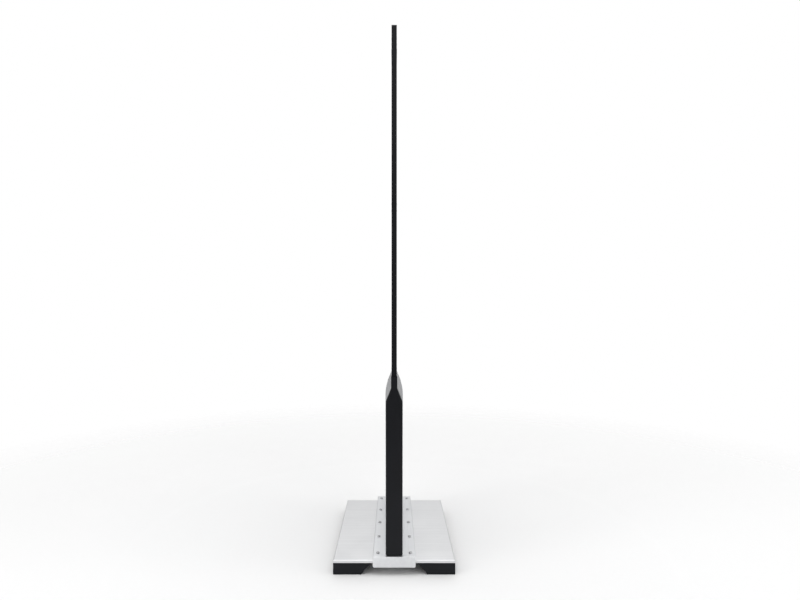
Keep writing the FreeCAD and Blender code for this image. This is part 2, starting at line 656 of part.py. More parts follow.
def make_rails():
    span = FRAME_END - size("frame_depth")
    tenon_half = size("groove_width") / 2 - size("tenon_gap")
    tenon = size("tenon_length")
    lower = frame_face(Vector(0, -span, LOWER_RAIL_BOTTOM), Z_AXIS).extrude(Vector(0, 2 * span, 0))
    for side in (-1, 1):
        low_y, high_y = sorted((side * span, side * (span + tenon)))
        key_top = LOWER_RAIL_BOTTOM + size("frame_depth") - size("groove_depth")
        key = box_between((-tenon_half, low_y, key_top - size("tenon_height")), (tenon_half, high_y, key_top))
        lower = lower.fuse(key)
    add_shape("lower_rail", lower)
    body = new_body("cross_rail", ("0", "0", "cross_rail_middle"))
    sketch = new_sketch(body, "XZ_Plane")
    add_rectangle(sketch, ("- frame_thickness / 2", "- cross_rail_height / 2"),
                  ("frame_thickness / 2", "cross_rail_height / 2"))
    pad(body, sketch, "frame_length - 2 * frame_depth", symmetric=True)
    tenons = new_sketch(body, "XZ_Plane")
    add_rectangle(tenons, ("- groove_width / 2 + tenon_gap", "- cross_rail_height / 2 + groove_depth"),
                  ("groove_width / 2 - tenon_gap", "cross_rail_height / 2 - groove_depth"))
    pad(body, tenons, "frame_length - 2 * frame_depth + 2 * tenon_length", symmetric=True)
    hollow = new_sketch(body, "XZ_Plane")
    add_rectangle(hollow, ("- groove_width / 2", "cross_rail_height / 2 - groove_depth"),
                  ("groove_width / 2", "cross_rail_height / 2 + 1"))
    add_rectangle(hollow, ("- groove_width / 2", "- cross_rail_height / 2 - 1"),
                  ("groove_width / 2", "- cross_rail_height / 2 + groove_depth"))
    add_rectangle(hollow, ("- wire_passage_width / 2", "- wire_passage_height / 2"),
                  ("wire_passage_width / 2", "wire_passage_height / 2"))
    pocket(body, hollow, "frame_length + 20", symmetric=True)
    round_edges(body, "cross_rail_round",
                lambda box: box.YLength > 400 and is_at(abs(box.XMin), abs(box.XMax), FRAME_HALF))


def make_panels():
    """Two clear panels held in the frame's grooves."""
    half = FRAME_END - size("frame_depth") + size("panel_entry")
    entry = size("panel_entry")
    thick = size("panel_thickness") / 2
    lower = box_between((-thick, -half, size("lower_rail_top") - entry), (thick, half, CROSS_LOW + entry))
    add_shape("lower_panel", lower)
    upper = box_between((-thick, -half, CROSS_HIGH - entry),
                        (thick, half, size("gate_top") - size("frame_depth") + entry))
    add_shape("upper_panel", upper)


def loop_path(low, high):
    """A closed upright loop in the middle plane, inside the frame's chambers."""
    half = FRAME_END - size("loop_depth")
    bend = size("loop_bend")
    corners = [Vector(0, -half, low), Vector(0, half, low), Vector(0, half, high), Vector(0, -half, high)]
    bends = []
    for step, corner in enumerate(corners):
        back = (corners[step - 1] - corner).normalize()
        ahead = (corners[(step + 1) % len(corners)] - corner).normalize()
        middle = corner + (back + ahead) * bend * (1 - math.cos(math.pi / 4))
        bends.append((corner + back * bend, middle, corner + ahead * bend))
    edges = []
    for step, (start, middle, leave) in enumerate(bends):
        edges.append(Part.Arc(start, middle, leave).toShape())
        edges.append(Part.makeLine(leave, bends[(step + 1) % len(bends)][0]))
    return Part.Wire(edges)


def closed_tube(path, radius):
    """A round solid round a closed path, one span to each edge."""
    pieces = []
    for edge in path.Edges:
        begin = edge.valueAt(edge.FirstParameter)
        section = Part.Wire(Part.makeCircle(radius, begin, edge.tangentAt(edge.FirstParameter)))
        pieces.append(Part.Wire([edge]).makePipeShell([section], True, True))
    return pieces[0].multiFuse(pieces[1:])


def make_loops():
    radius = size("loop_radius")
    top = size("gate_top") - size("loop_depth")
    add_shape("antenna_loop_upper", closed_tube(loop_path(UPPER_LOOP_LOW, top), radius))
    add_shape("antenna_loop_lower", closed_tube(loop_path(LOWER_LOOP_LOW, LOWER_LOOP_HIGH), radius))


def make_alarm_light():
    """A red lens in each face of the top rail, and the row of lamps between them."""
    middle = size("gate_top") - CHAMBER_MIDDLE
    half = size("lens_length") / 2
    tall = size("lens_height") / 2
    for side, name in ((-1, "left"), (1, "right")):
        outside = side * (FRAME_HALF + size("lens_rise"))
        low_x, high_x = sorted((side * (FRAME_HALF - size("frame_wall")), outside))
        lens = box_between((low_x, -half, middle - tall), (high_x, half, middle + tall))
        add_shape("alarm_lens_" + name, lens.makeFillet(size("lens_edge_round"), edges_at_x(lens, outside)))
    board_half = size("led_board_length") / 2
    thick_half = size("led_board_thickness") / 2
    base = size("gate_top") - size("frame_wall") - size("chamber_depth")
    top = base + size("led_board_height")
    lamp_reach, lamp_half, lamp_margin, lamp_count = 2.4, 2, 1, 10
    plug_reach, plug_length = 4, 8
    board = box_between((-thick_half, -board_half, base), (thick_half, board_half, top))
    for step in range(lamp_count):
        along = (step - (lamp_count - 1) / 2) * size("led_pitch")
        lamp = box_between((-lamp_reach, along - lamp_half, base + lamp_margin),
                           (lamp_reach, along + lamp_half, top - lamp_margin))
        board = board.fuse(lamp)
    plug = box_between((-plug_reach, board_half - plug_length, base), (thick_half, board_half, top))
    add_shape("led_board", board.fuse(plug))


def make_frame_fixings():
    """Flat strips in the chambers that hold the top rail's legs to the uprights."""
    joiners = []
    gap = size("joiner_gap")
    outer_end = FRAME_END - size("frame_wall") - gap
    inner_end = outer_end - size("chamber_depth") + 2 * gap
    high_z = JOINT_LEVEL + size("corner_leg")
    low_z = high_z - size("joiner_length")
    for side in (-1, 1):
        for face in (-1, 1):
            wall = size("chamber_width") / 2
            low_x, high_x = sorted((face * (wall - size("joiner_thickness")), face * wall))
            low_y, high_y = sorted((side * outer_end, side * inner_end))
            joiners.append(box_between((low_x, low_y, low_z), (high_x, high_y, high_z)))
    add_shape("corner_joiners", group(joiners))


# ---- lower housing ----

def make_cap(side, label):
    """Black end of the housing: straight flanks, sloped shoulders and a neck round the frame's upright."""
    body = new_body(label, ("0", "0", SPINE_TOP_TEXT))
    offset = "%s (housing_length / 2)" % ("" if side < 0 else "-")
    low = "(shoulder_low - %s)" % SPINE_TOP_TEXT
    high = "(shoulder_high - %s)" % SPINE_TOP_TEXT
    top = "(neck_top - %s)" % SPINE_TOP_TEXT
    sketch = new_sketch(body, "XZ_Plane", offset)
    add_outline(sketch, [
        ("- housing_width / 2", "0"), ("housing_width / 2", "0"),
        ("housing_width / 2", low), ("neck_width / 2", high), ("neck_width / 2", top),
        ("- neck_width / 2", top), ("- neck_width / 2", high), ("- housing_width / 2", low),
    ])
    pad(body, sketch, "cap_depth", reverse=side < 0)
    half = size("housing_width") / 2
    round_edges(body, "cap_bottom_round", lambda box: box.YLength > 20
                and abs(box.ZMin) < 0.01 and is_at(abs(box.XMin), abs(box.XMax), half))
    front = side * HOUSING_END
    round_edges(body, "cap_round", lambda box: is_at(box.YMin, box.YMax, front)
                and box.ZMax < size("neck_top") - SPINE_TOP - 0.01)
    inside = new_sketch(body, "XZ_Plane", "%s (housing_length / 2 - cap_depth)" % ("" if side < 0 else "-"))
    clear = "(frame_thickness / 2 + cap_gap)"
    inner_high = high + " - cap_wall"
    inner = "(housing_width / 2 - cap_wall)"
    add_outline(inside, [
        ("- " + inner, "- 1"), (inner, "- 1"),
        (inner, low + " - 1"), (clear, inner_high), (clear, top + " + 1"),
        ("- " + clear, top + " + 1"), ("- " + clear, inner_high), ("- " + inner, low + " - 1"),
    ])
    pocket(body, inside, "cap_depth - cap_wall", reverse=side < 0)


def housing_shape(inset, end, bottom):
    """The covers' outer form drawn in by an inset: flanks bowed in plan under arched, sloping shoulders."""
    end_half = size("housing_width") / 2 - inset
    bow_half = end_half + size("housing_bow")
    neck_half = size("neck_width") / 2 - inset
    top = size("neck_top")
    right = [Vector(end_half, -end, bottom), Vector(bow_half, 0, bottom), Vector(end_half, end, bottom)]
    left = [Vector(-end_half, end, bottom), Vector(-bow_half, 0, bottom), Vector(-end_half, -end, bottom)]
    plan = [Part.Arc(*right), Part.LineSegment(right[2], left[0]),
            Part.Arc(*left), Part.LineSegment(left[2], right[0])]
    flanks = Part.Face(Part.Wire([curve.toShape() for curve in plan])).extrude(Vector(0, 0, top - bottom))

    rise = size("shoulder_rise")
    arch_radius = (CAP_SEAM ** 2 + rise ** 2) / (2 * rise)
    crown = size("shoulder_high") + rise - inset * 0.4
    centre = Vector(0, 0, size("shoulder_high") + rise - arch_radius)
    shoulder_fall = size("shoulder_high") - size("shoulder_low")
    slope = shoulder_fall / ((size("housing_width") - size("neck_width")) / 2)
    wide = bow_half + 2
    wide_level = crown - (wide - neck_half) * slope
    floor_level = size("shoulder_low") - shoulder_fall
    profile = [Vector(neck_half, 0, crown), Vector(wide, 0, wide_level), Vector(wide, 0, floor_level),
               Vector(-wide, 0, floor_level), Vector(-wide, 0, wide_level), Vector(-neck_half, 0, crown)]
    face = Part.Face(Part.makePolygon(profile + profile[:1]))
    sweep_half = 10
    face.rotate(centre, X_AXIS, -sweep_half)
    shoulders = face.revolve(centre, X_AXIS, 2 * sweep_half)
    straight = box_between((-wide, -end, bottom), (wide, end, floor_level + shoulder_fall / 2))
    neck = box_between((-neck_half, -end, floor_level), (neck_half, end, top))
    return flanks.common(shoulders.fuse([straight, neck]).removeSplitter())


def make_cover(side, label):
    """Bowed silver half shell that closes one side of the housing and snaps on with four studs."""
    end = COVER_END
    outer = housing_shape(0, end, COVER_BOTTOM)
    inner = housing_shape(size("cover_wall"), end + PAST, COVER_BOTTOM - PAST)
    inner_edge = FRAME_HALF + size("cover_gap")
    low_x, high_x = sorted((side * inner_edge, side * size("housing_width")))
    half = box_between((low_x, -end - PAST, COVER_BOTTOM - PAST),
                       (high_x, end + PAST, size("neck_top") + PAST))
    shell = outer.cut(inner).common(half)
    low_x, high_x = sorted((side * inner_edge, side * size("neck_width") / 2))
    neck = box_between((low_x, -end, size("shoulder_high") - 4), (high_x, end, size("neck_top")))
    shell = shell.fuse(neck.common(outer)).removeSplitter()
    if side > 0:
        shell = shell.cut(sounder_slots())
    add_shape(label, shell)


def sounder_slots():
    """Five round-ended slots in front of the sounder."""
    along, middle = SOUNDER_PLACE
    half_length = size("slot_length") / 2
    half_height = size("slot_height") / 2
    slots = []
    for step in range(-2, 3):
        level = middle + step * size("slot_pitch")
        slot = box_between((CHASSIS_BACK, along - half_length, level - half_height),
                           (size("housing_width"), along + half_length, level + half_height))
        ends = [edge for edge in slot.Edges if edge.BoundBox.XLength > 5]
        slots.append(slot.makeFillet(half_height - 0.1, ends))
    return group(slots)


def inner_flank(along):
    """Distance from the middle plane to the cover's inner face at a place along the gate."""
    bow = size("housing_bow")
    radius = (COVER_END ** 2 + bow ** 2) / (2 * bow)
    sagitta = math.sqrt(radius ** 2 - along ** 2) - (radius - bow)
    return size("housing_width") / 2 + sagitta - size("cover_wall")


def make_snaps():
    """Studs on the covers and the sockets that they snap into on the chassis plate."""
    bore_radius = size("stud_radius") + size("stud_clearance")
    sockets = []
    for side, name in ((-1, "left"), (1, "right")):
        seat = CHASSIS_FACE if side < 0 else CHASSIS_BACK
        direction = Vector(side, 0, 0)
        cover = doc.getObject(name + "_cover").Shape
        studs = []
        for along, level in STUDS:
            wall = inner_flank(along)
            mouth = wall - size("clip_gap")
            reach = mouth - side * seat
            depth = size("stud_entry") if side < 0 else reach - size("clip_floor")
            socket = rod((seat, along, level), size("clip_radius"), reach, direction)
            bore = rod((side * (mouth - depth), along, level), bore_radius, depth + PAST, direction)
            sockets.append(socket.cut(bore))
            tip = side * (mouth - depth + 1)
            length = abs(side * (wall + size("stud_root")) - tip)
            studs.append(rod((tip, along, level), size("stud_radius"), length, direction).cut(cover))
        add_shape(name + "_cover_studs", group(studs))
    add_shape("cover_clips", group(sockets))


# ---- electronics on the chassis plate ----

def make_chassis():
    """Upright plate screwed to the +X faces of the two frame uprights, with cut-outs for the controls."""
    body = new_body("chassis_plate", ("frame_thickness / 2", "0", "0"))
    sketch = new_sketch(body, "YZ_Plane")
    add_rectangle(sketch, ("- chassis_length / 2", "chassis_bottom"), ("chassis_length / 2", "chassis_top"))
    pad(body, sketch, "chassis_thickness")
    holes = new_sketch(body, "YZ_Plane")
    add_rectangle(holes, ("%s - switch_hole_width / 2" % SWITCH_PLACE[0],
                          "%s - switch_hole_height / 2" % SWITCH_PLACE[1]),
                  ("%s + switch_hole_width / 2" % SWITCH_PLACE[0],
                   "%s + switch_hole_height / 2" % SWITCH_PLACE[1]))
    add_circle(holes, (str(BUTTON_PLACE[0]), str(BUTTON_PLACE[1])), "button_hole")
    add_circle(holes, (str(FUSE_PLACE[0]), str(FUSE_PLACE[1])), "fuse_hole")
    for side in ("-", ""):
        for level in CHASSIS_SCREW_LEVELS:
            add_circle(holes, (side + " chassis_screw_along", str(level)), "chassis_screw_radius")
    pocket(body, holes, "8 * chassis_thickness", symmetric=True)
    round_edges(body, "chassis_corner", lambda box: box.XLength > 1 and max(box.YLength, box.ZLength) < 0.01
                and abs(abs(box.YMin) - size("chassis_length") / 2) < 0.01)
    length = size("chassis_screw_length")
    slot_depth, slot_half_width, slot_half_length = 1, 0.6, 2.4
    head_face = CHASSIS_BACK + size("chassis_screw_head_height")
    screws = []
    for along in (-size("chassis_screw_along"), size("chassis_screw_along")):
        for level in CHASSIS_SCREW_LEVELS:
            head = rod((CHASSIS_BACK, along, level), size("chassis_screw_head_radius"),
                       size("chassis_screw_head_height"), X_AXIS)
            shank = rod((CHASSIS_BACK - length, along, level), size("chassis_screw_radius"), length, X_AXIS)
            slot = box_between((head_face - slot_depth, along - slot_half_length, level - slot_half_width),
                               (head_face + PAST, along + slot_half_length, level + slot_half_width))
            screws.append(head.fuse(shank).cut(slot))
    add_shape("chassis_screws", group(screws))


def make_boards():
    """The transceiver board on its standoffs, and the smaller tuning board above it."""
    back = BOARD_FACE - BOARD_THICKNESS
    corner_inset, tuning_inset, hole_radius = 8, 6, 1.6
    board = box_between((back, *BOARD_LOW), (BOARD_FACE, *BOARD_HIGH))
    corners = board_corners(BOARD_LOW, BOARD_HIGH, corner_inset)
    for along, level in corners:
        board = board.cut(rod((back - PAST, along, level), hole_radius, BOARD_THICKNESS + 2 * PAST, X_AXIS))
    # each case: its span along the gate, its span in height and how far it stands off the board
    cases = [((-57, -3), (304, 350), 9), ((23, 57), (310, 340), 5), ((-42, -8), (380, 430), 12),
             ((18, 52), (370, 410), 3), ((73, 92), (360, 400), 10), ((13, 27), (440, 465), 8)]
    lid_round = 0.8
    for (near, far), (low, high), tall in cases:
        case = box_between((back - tall, near, low), (back, far, high))
        board = board.fuse(case.makeFillet(lid_round, edges_at_x(case, back - tall)))
    capacitor_radius, capacitor_height = 5, 14
    for along, level in ((80, 320), (80, 340), (95, 320), (95, 340)):
        capacitor = rod((back - capacitor_height, along, level), capacitor_radius, capacitor_height, X_AXIS)
        board = board.fuse(capacitor)
    add_shape("transceiver_board", board)

    tuning = box_between((back, *TUNING_LOW), (BOARD_FACE, *TUNING_HIGH))
    tuning_corners = board_corners(TUNING_LOW, TUNING_HIGH, tuning_inset)
    for along, level in tuning_corners:
        tuning = tuning.cut(rod((back - PAST, along, level), hole_radius, BOARD_THICKNESS + 2 * PAST, X_AXIS))
    coil_height, coil_radius, coil_bore, coil_bore_depth, coil_pitch = 7, 6, 2, 5, 16
    first_coil, coil_level = -20, (TUNING_LOW[1] + TUNING_HIGH[1]) / 2
    for step in range(4):
        start = (back - coil_height, first_coil + step * coil_pitch, coil_level)
        coil = rod(start, coil_radius, coil_height, X_AXIS)
        tuning = tuning.fuse(coil.cut(rod(start, coil_bore, coil_bore_depth, X_AXIS)))
    add_shape("tuning_board", tuning)

    standoff_radius, thread_radius, thread_depth = 3, 1.5, 6
    head_radius, head_height = 2.8, 1.8
    standoffs, screws = [], []
    for along, level in corners + tuning_corners:
        standoff = rod((BOARD_FACE, along, level), standoff_radius, CHASSIS_FACE - BOARD_FACE, X_AXIS)
        standoffs.append(standoff.cut(rod((BOARD_FACE, along, level), thread_radius, thread_depth, X_AXIS)))
        head = rod((back - head_height, along, level), head_radius, head_height, X_AXIS)
        shank = rod((back, along, level), thread_radius, BOARD_THICKNESS + thread_depth, X_AXIS)
        screws.append(head.fuse(shank))
    add_shape("board_standoffs", group(standoffs))
    add_shape("board_screws", group(screws))


def board_corners(low, high, inset):
    return [(along, level) for along in (low[0] + inset, high[0] - inset)
            for level in (low[1] + inset, high[1] - inset)]


def make_power_supply():
    """Sheet-metal box with rows of shallow louvres."""
    depth, edge_round = 27, 1.2
    face = CHASSIS_FACE - depth
    supply = box_between((face, *SUPPLY_LOW), (CHASSIS_FACE, *SUPPLY_HIGH))
    supply = supply.makeFillet(edge_round, edges_at_x(supply, face))
    vent_length, vent_height, vent_depth = 10, 4, 1
    for row in range(8):
        for column in range(5):
            level = SUPPLY_LOW[1] + 50 + row * 12
            along = SUPPLY_LOW[0] + 17 + column * 16
            vent = box_between((face - PAST, along, level),
                               (face + vent_depth, along + vent_length, level + vent_height))
            supply = supply.cut(vent)
    add_shape("power_supply", supply)


def make_terminals():
    """Three-way terminal block with its screw wells and wire entries."""
    depth, pitch, well_radius, well_depth = 20, 13, 3, 7
    face = CHASSIS_FACE - depth
    middle = (TERMINAL_LOW[1] + TERMINAL_HIGH[1]) / 2
    block_shape = box_between((face, *TERMINAL_LOW), (CHASSIS_FACE, *TERMINAL_HIGH))
    for step in range(3):
        along = TERMINAL_LOW[0] + 6.5 + step * pitch
        well = rod((face - PAST, along, middle), well_radius, well_depth + PAST, X_AXIS)
        entry = box_between((CHASSIS_FACE - 9, along - 3, TERMINAL_LOW[1] - PAST),
                            (CHASSIS_FACE - 4, along + 3, TERMINAL_LOW[1] + 6))
        block_shape = block_shape.cut(well).cut(entry)
    add_shape("terminal_block", block_shape)


def make_fuse_and_earth():
    """Fuse holder through the chassis plate, and the earth stud with its nut."""
    barrel_start, barrel_radius, cap_radius, cap_height = -16, 6.5, 8, 5
    along, level = FUSE_PLACE
    holder = rod((barrel_start, along, level), barrel_radius, CHASSIS_BACK - barrel_start, X_AXIS)
    cap = rod((CHASSIS_BACK, along, level), cap_radius, cap_height, X_AXIS)
    cap = cap.makeFillet(1, edges_at_x(cap, CHASSIS_BACK + cap_height))
    slot_depth, slot_half_length, slot_half_width = 1, 6, 0.8
    cap_face = CHASSIS_BACK + cap_height
    slot = box_between((cap_face - slot_depth, along - slot_half_length, level - slot_half_width),
                       (cap_face + PAST, along + slot_half_length, level + slot_half_width))
    add_shape("fuse_holder", holder.fuse(cap).cut(slot))
    stud_radius, stud_length, nut_flats, nut_height = 2.5, 12, 8, 4
    stud = rod((CHASSIS_FACE - stud_length, *EARTH_PLACE), stud_radius, stud_length, X_AXIS)
    nut = hexagon((0, 0, 0), nut_flats, nut_height)
    nut.rotate(Vector(0, 0, 0), Y_AXIS, -90)
    nut.translate(Vector(CHASSIS_FACE, *EARTH_PLACE))
    add_shape("earth_stud", stud.fuse(nut))


def make_switch():
    """Rocker switch reached on the chassis's +X side, with its rocker on a pivot pin."""
    along, level = SWITCH_PLACE
    half_width, half_height = size("switch_hole_width") / 2, size("switch_hole_height") / 2
    case_depth, bezel_lip, bezel_round = 16, 3, 0.8
    well_depth, well_half_width, well_half_height = 7, 5.3, 9.6
    bore_radius, bore_half, pin_radius, pin_half = 1.05, 6.5, 1, 6.3
    case = box_between((CHASSIS_FACE - case_depth, along - half_width, level - half_height),
                       (CHASSIS_BACK, along + half_width, level + half_height))
    bezel = box_between((CHASSIS_BACK, along - half_width - bezel_lip, level - half_height - bezel_lip),
                        (CONTROL_FACE, along + half_width + bezel_lip, level + half_height + bezel_lip))
    bezel = bezel.makeFillet(bezel_round, edges_at_x(bezel, CONTROL_FACE))
    well = box_between((CHASSIS_FACE - well_depth, along - well_half_width, level - well_half_height),
                       (CONTROL_FACE + PAST, along + well_half_width, level + well_half_height))
    bore = rod((ROCKER_PIVOT, along - bore_half, level), bore_radius, 2 * bore_half, Y_AXIS)
    add_shape("power_switch_body", case.fuse(bezel).cut(well).cut(bore))
    # the rocker's outline as (outward, upward) steps from its pivot, before it tilts
    outline = [(-5, -2), (-5, 2), (4.6, 8.3), (6.6, 8.6), (5.0, 0), (6.6, -8.6), (4.6, -8.3)]
    tilt = math.radians(ROCKER_TILT)
    half_rocker = 5
    corners = []
    for out, up in outline + outline[:1]:
        across = ROCKER_PIVOT + out * math.cos(tilt) + up * math.sin(tilt)
        height = level + up * math.cos(tilt) - out * math.sin(tilt)
        corners.append(Vector(across, along - half_rocker, height))
    rocker = Part.Face(Part.makePolygon(corners)).extrude(Vector(0, 2 * half_rocker, 0))
    pin = rod((ROCKER_PIVOT, along - pin_half, level), pin_radius, 2 * pin_half, Y_AXIS)
    add_shape("power_switch_rocker", rocker.fuse(pin))


def make_button():
    """Test button: a barrel with a collar, and the cap that slides in it."""
    along, level = BUTTON_PLACE
    barrel_depth, barrel_radius, collar_radius = 14, 6, 8
    bore_depth, bore_radius = 6, 4.3
    cap_depth, cap_radius, cap_rise = 3, 4, 3.5
    barrel = rod((CHASSIS_FACE - barrel_depth, along, level), barrel_radius,
                 CHASSIS_BACK - CHASSIS_FACE + barrel_depth, X_AXIS)
    collar = rod((CHASSIS_BACK, along, level), collar_radius, CONTROL_FACE - CHASSIS_BACK, X_AXIS)
    bore = rod((CHASSIS_FACE - bore_depth, along, level), bore_radius,
               CONTROL_FACE - CHASSIS_FACE + bore_depth + PAST, X_AXIS)
    add_shape("test_button_body", barrel.fuse(collar).cut(bore))
    cap_start = CHASSIS_FACE - cap_depth
    cap_face = CONTROL_FACE + cap_rise
    cap = rod((cap_start, along, level), cap_radius, cap_face - cap_start, X_AXIS)
    add_shape("test_button_cap", cap.makeFillet(1, edges_at_x(cap, cap_face)))


def make_sounder():
    """Round sounder with a mouth, behind the slots of the right cover."""
    along, level = SOUNDER_PLACE
    radius, height, rim_round, mouth_radius, mouth_depth = 20, 11, 2, 4, 3
    face = CHASSIS_BACK + height
    can = rod((CHASSIS_BACK, along, level), radius, height, X_AXIS)
    can = can.makeFillet(rim_round, edges_at_x(can, face))
    mouth = rod((face - mouth_depth, along, level), mouth_radius, mouth_depth + PAST, X_AXIS)
    add_shape("sounder", can.cut(mouth))


def make_wiring():
    """Wires that stay inside the housing and the frame, along the routes where their clips hold them."""
    mains_radius, supply_radius, feed_radius = 1.2, 1.6, 1.4
    fuse_lead = [(-6, 121, 118), (-6, 121, 132), (-6, 106, 143), (-6, 84, 149), (-6, 66.5, 150)]
    switch_lead = [(-10, 56, 143.2), (-10, 50, 128), (-11, 20, 126), (-11, -10, 128), (-10.5, -24, 134),
                   (-10, -26, 139)]
    supply_lead = [(-10, -36.9, 150), (-10, -50, 150), (-10, -66, 148), (-10, -84, 146)]
    mains = [tube_along(routed_wire(route), mains_radius) for route in (fuse_lead, switch_lead, supply_lead)]
    add_shape("mains_wiring", group(mains))
    supply = [(-6, -130, 271), (-6, -130, 292), (-8, -118, 312), (-10, -92, 324), (-11, -60, 325)]
    add_shape("supply_wiring", tube_along(routed_wire(supply), supply_radius))
    feed = [(-10, 20, 465), (-10, 20, 474), (-8, 13, 481), (-5.3, 5, 488), (-5.3, 5, 497)]
    riser = [(-5.3, 5, 547), (-5.3, 5, 552), (-2, 4, 559), (0, 4, 564), (0, 4, LOWER_RAIL_BOTTOM)]
    add_shape("antenna_feed", group([tube_along(routed_wire(route), feed_radius) for route in (feed, riser)]))


def make_alarm_wiring():
    """Wire from the transceiver board up the rear upright's chamber to the row of lamps."""
    radius = 0.9
    across = ALARM_WIRE_ACROSS
    depth = FRAME_END - ALARM_WIRE_DEPTH
    level = size("gate_top") - ALARM_WIRE_DEPTH
    bend = ALARM_WIRE_BEND
    entry_top = (across, depth, 520)
    lead_in = [(-7, 110, 400), (-7, 140, 402), (-4.5, 180, 414), (across, 215, 436), (across, depth, 466),
               entry_top]
    bend_start = Vector(across, depth, level - bend)
    bend_end = Vector(across, depth - bend, level)
    drop = bend * (1 - math.cos(math.pi / 4))
    climb = Part.makeLine(Vector(*entry_top), bend_start)
    corner = Part.Arc(bend_start, Vector(across, depth - drop, level - drop), bend_end).toShape()
    run = Part.makeLine(bend_end, Vector(across, size("led_board_length") / 2, level))
    whole = Part.Wire(list(routed_wire(lead_in).Edges) + [climb, corner, run])
    add_shape("alarm_wiring", tube_along(whole, radius))


def write_parts():
    """Checks every object of the document, then writes each sub-part to its own file."""
    doc.recompute()
    for item in doc.Objects:
        if "Invalid" in item.State or "Error" in item.State:
            raise RuntimeError("%s failed: %s" % (item.Label, item.State))
    os.makedirs("parts", exist_ok=True)
    for part in sub_parts:
        if part.Shape.isNull() or not part.Shape.isValid():
            raise RuntimeError("%s has no valid shape" % part.Label)
    for part in sub_parts:
        part.Shape.exportStep("parts/%s.step" % part.Label)
        print(part.Label, len(part.Shape.Solids), round(part.Shape.Volume / 1000, 2))


make_base()
make_spine()
make_shoe()
make_stile(-1, "front_stile")
make_stile(1, "rear_stile")
make_top_rail()
make_rails()
make_panels()
make_loops()
make_alarm_light()
make_frame_fixings()
make_cap(-1, "front_cap")
make_cap(1, "rear_cap")
make_cover(-1, "left_cover")
make_cover(1, "right_cover")
make_snaps()
make_chassis()
make_boards()
make_power_supply()
make_terminals()
make_fuse_and_earth()
make_switch()
make_button()
make_sounder()
make_wiring()
make_alarm_wiring()
write_parts()
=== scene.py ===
import json
import math
import random
import bpy
import bmesh
from mathutils import Matrix, Vector


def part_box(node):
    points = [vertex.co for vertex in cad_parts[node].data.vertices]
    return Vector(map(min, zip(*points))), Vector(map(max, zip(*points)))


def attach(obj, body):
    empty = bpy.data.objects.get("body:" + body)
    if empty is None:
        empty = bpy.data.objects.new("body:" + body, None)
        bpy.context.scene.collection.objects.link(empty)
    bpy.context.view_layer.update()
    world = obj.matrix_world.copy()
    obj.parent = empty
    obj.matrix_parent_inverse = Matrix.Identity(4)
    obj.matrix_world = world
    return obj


# Looks of a free-standing anti-theft gate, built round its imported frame, in metres.
# The gate's front edge faces -Y.
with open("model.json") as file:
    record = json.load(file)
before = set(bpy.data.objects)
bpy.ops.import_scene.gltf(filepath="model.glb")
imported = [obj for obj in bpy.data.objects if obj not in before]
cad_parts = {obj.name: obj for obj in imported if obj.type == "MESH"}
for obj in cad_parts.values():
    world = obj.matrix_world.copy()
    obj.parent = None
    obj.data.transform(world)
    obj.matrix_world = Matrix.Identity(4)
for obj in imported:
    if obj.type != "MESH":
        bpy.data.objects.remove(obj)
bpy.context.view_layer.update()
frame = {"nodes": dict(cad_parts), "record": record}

MM = 0.001


def in_mm(points):
    """Pairs given in millimetres, as metres."""
    return [(first * MM, second * MM) for first, second in points]


# ---- node helpers ----

def tone(colour, factor):
    """A lighter or darker tone of a colour."""
    return tuple(min(1.0, part * factor) for part in colour)


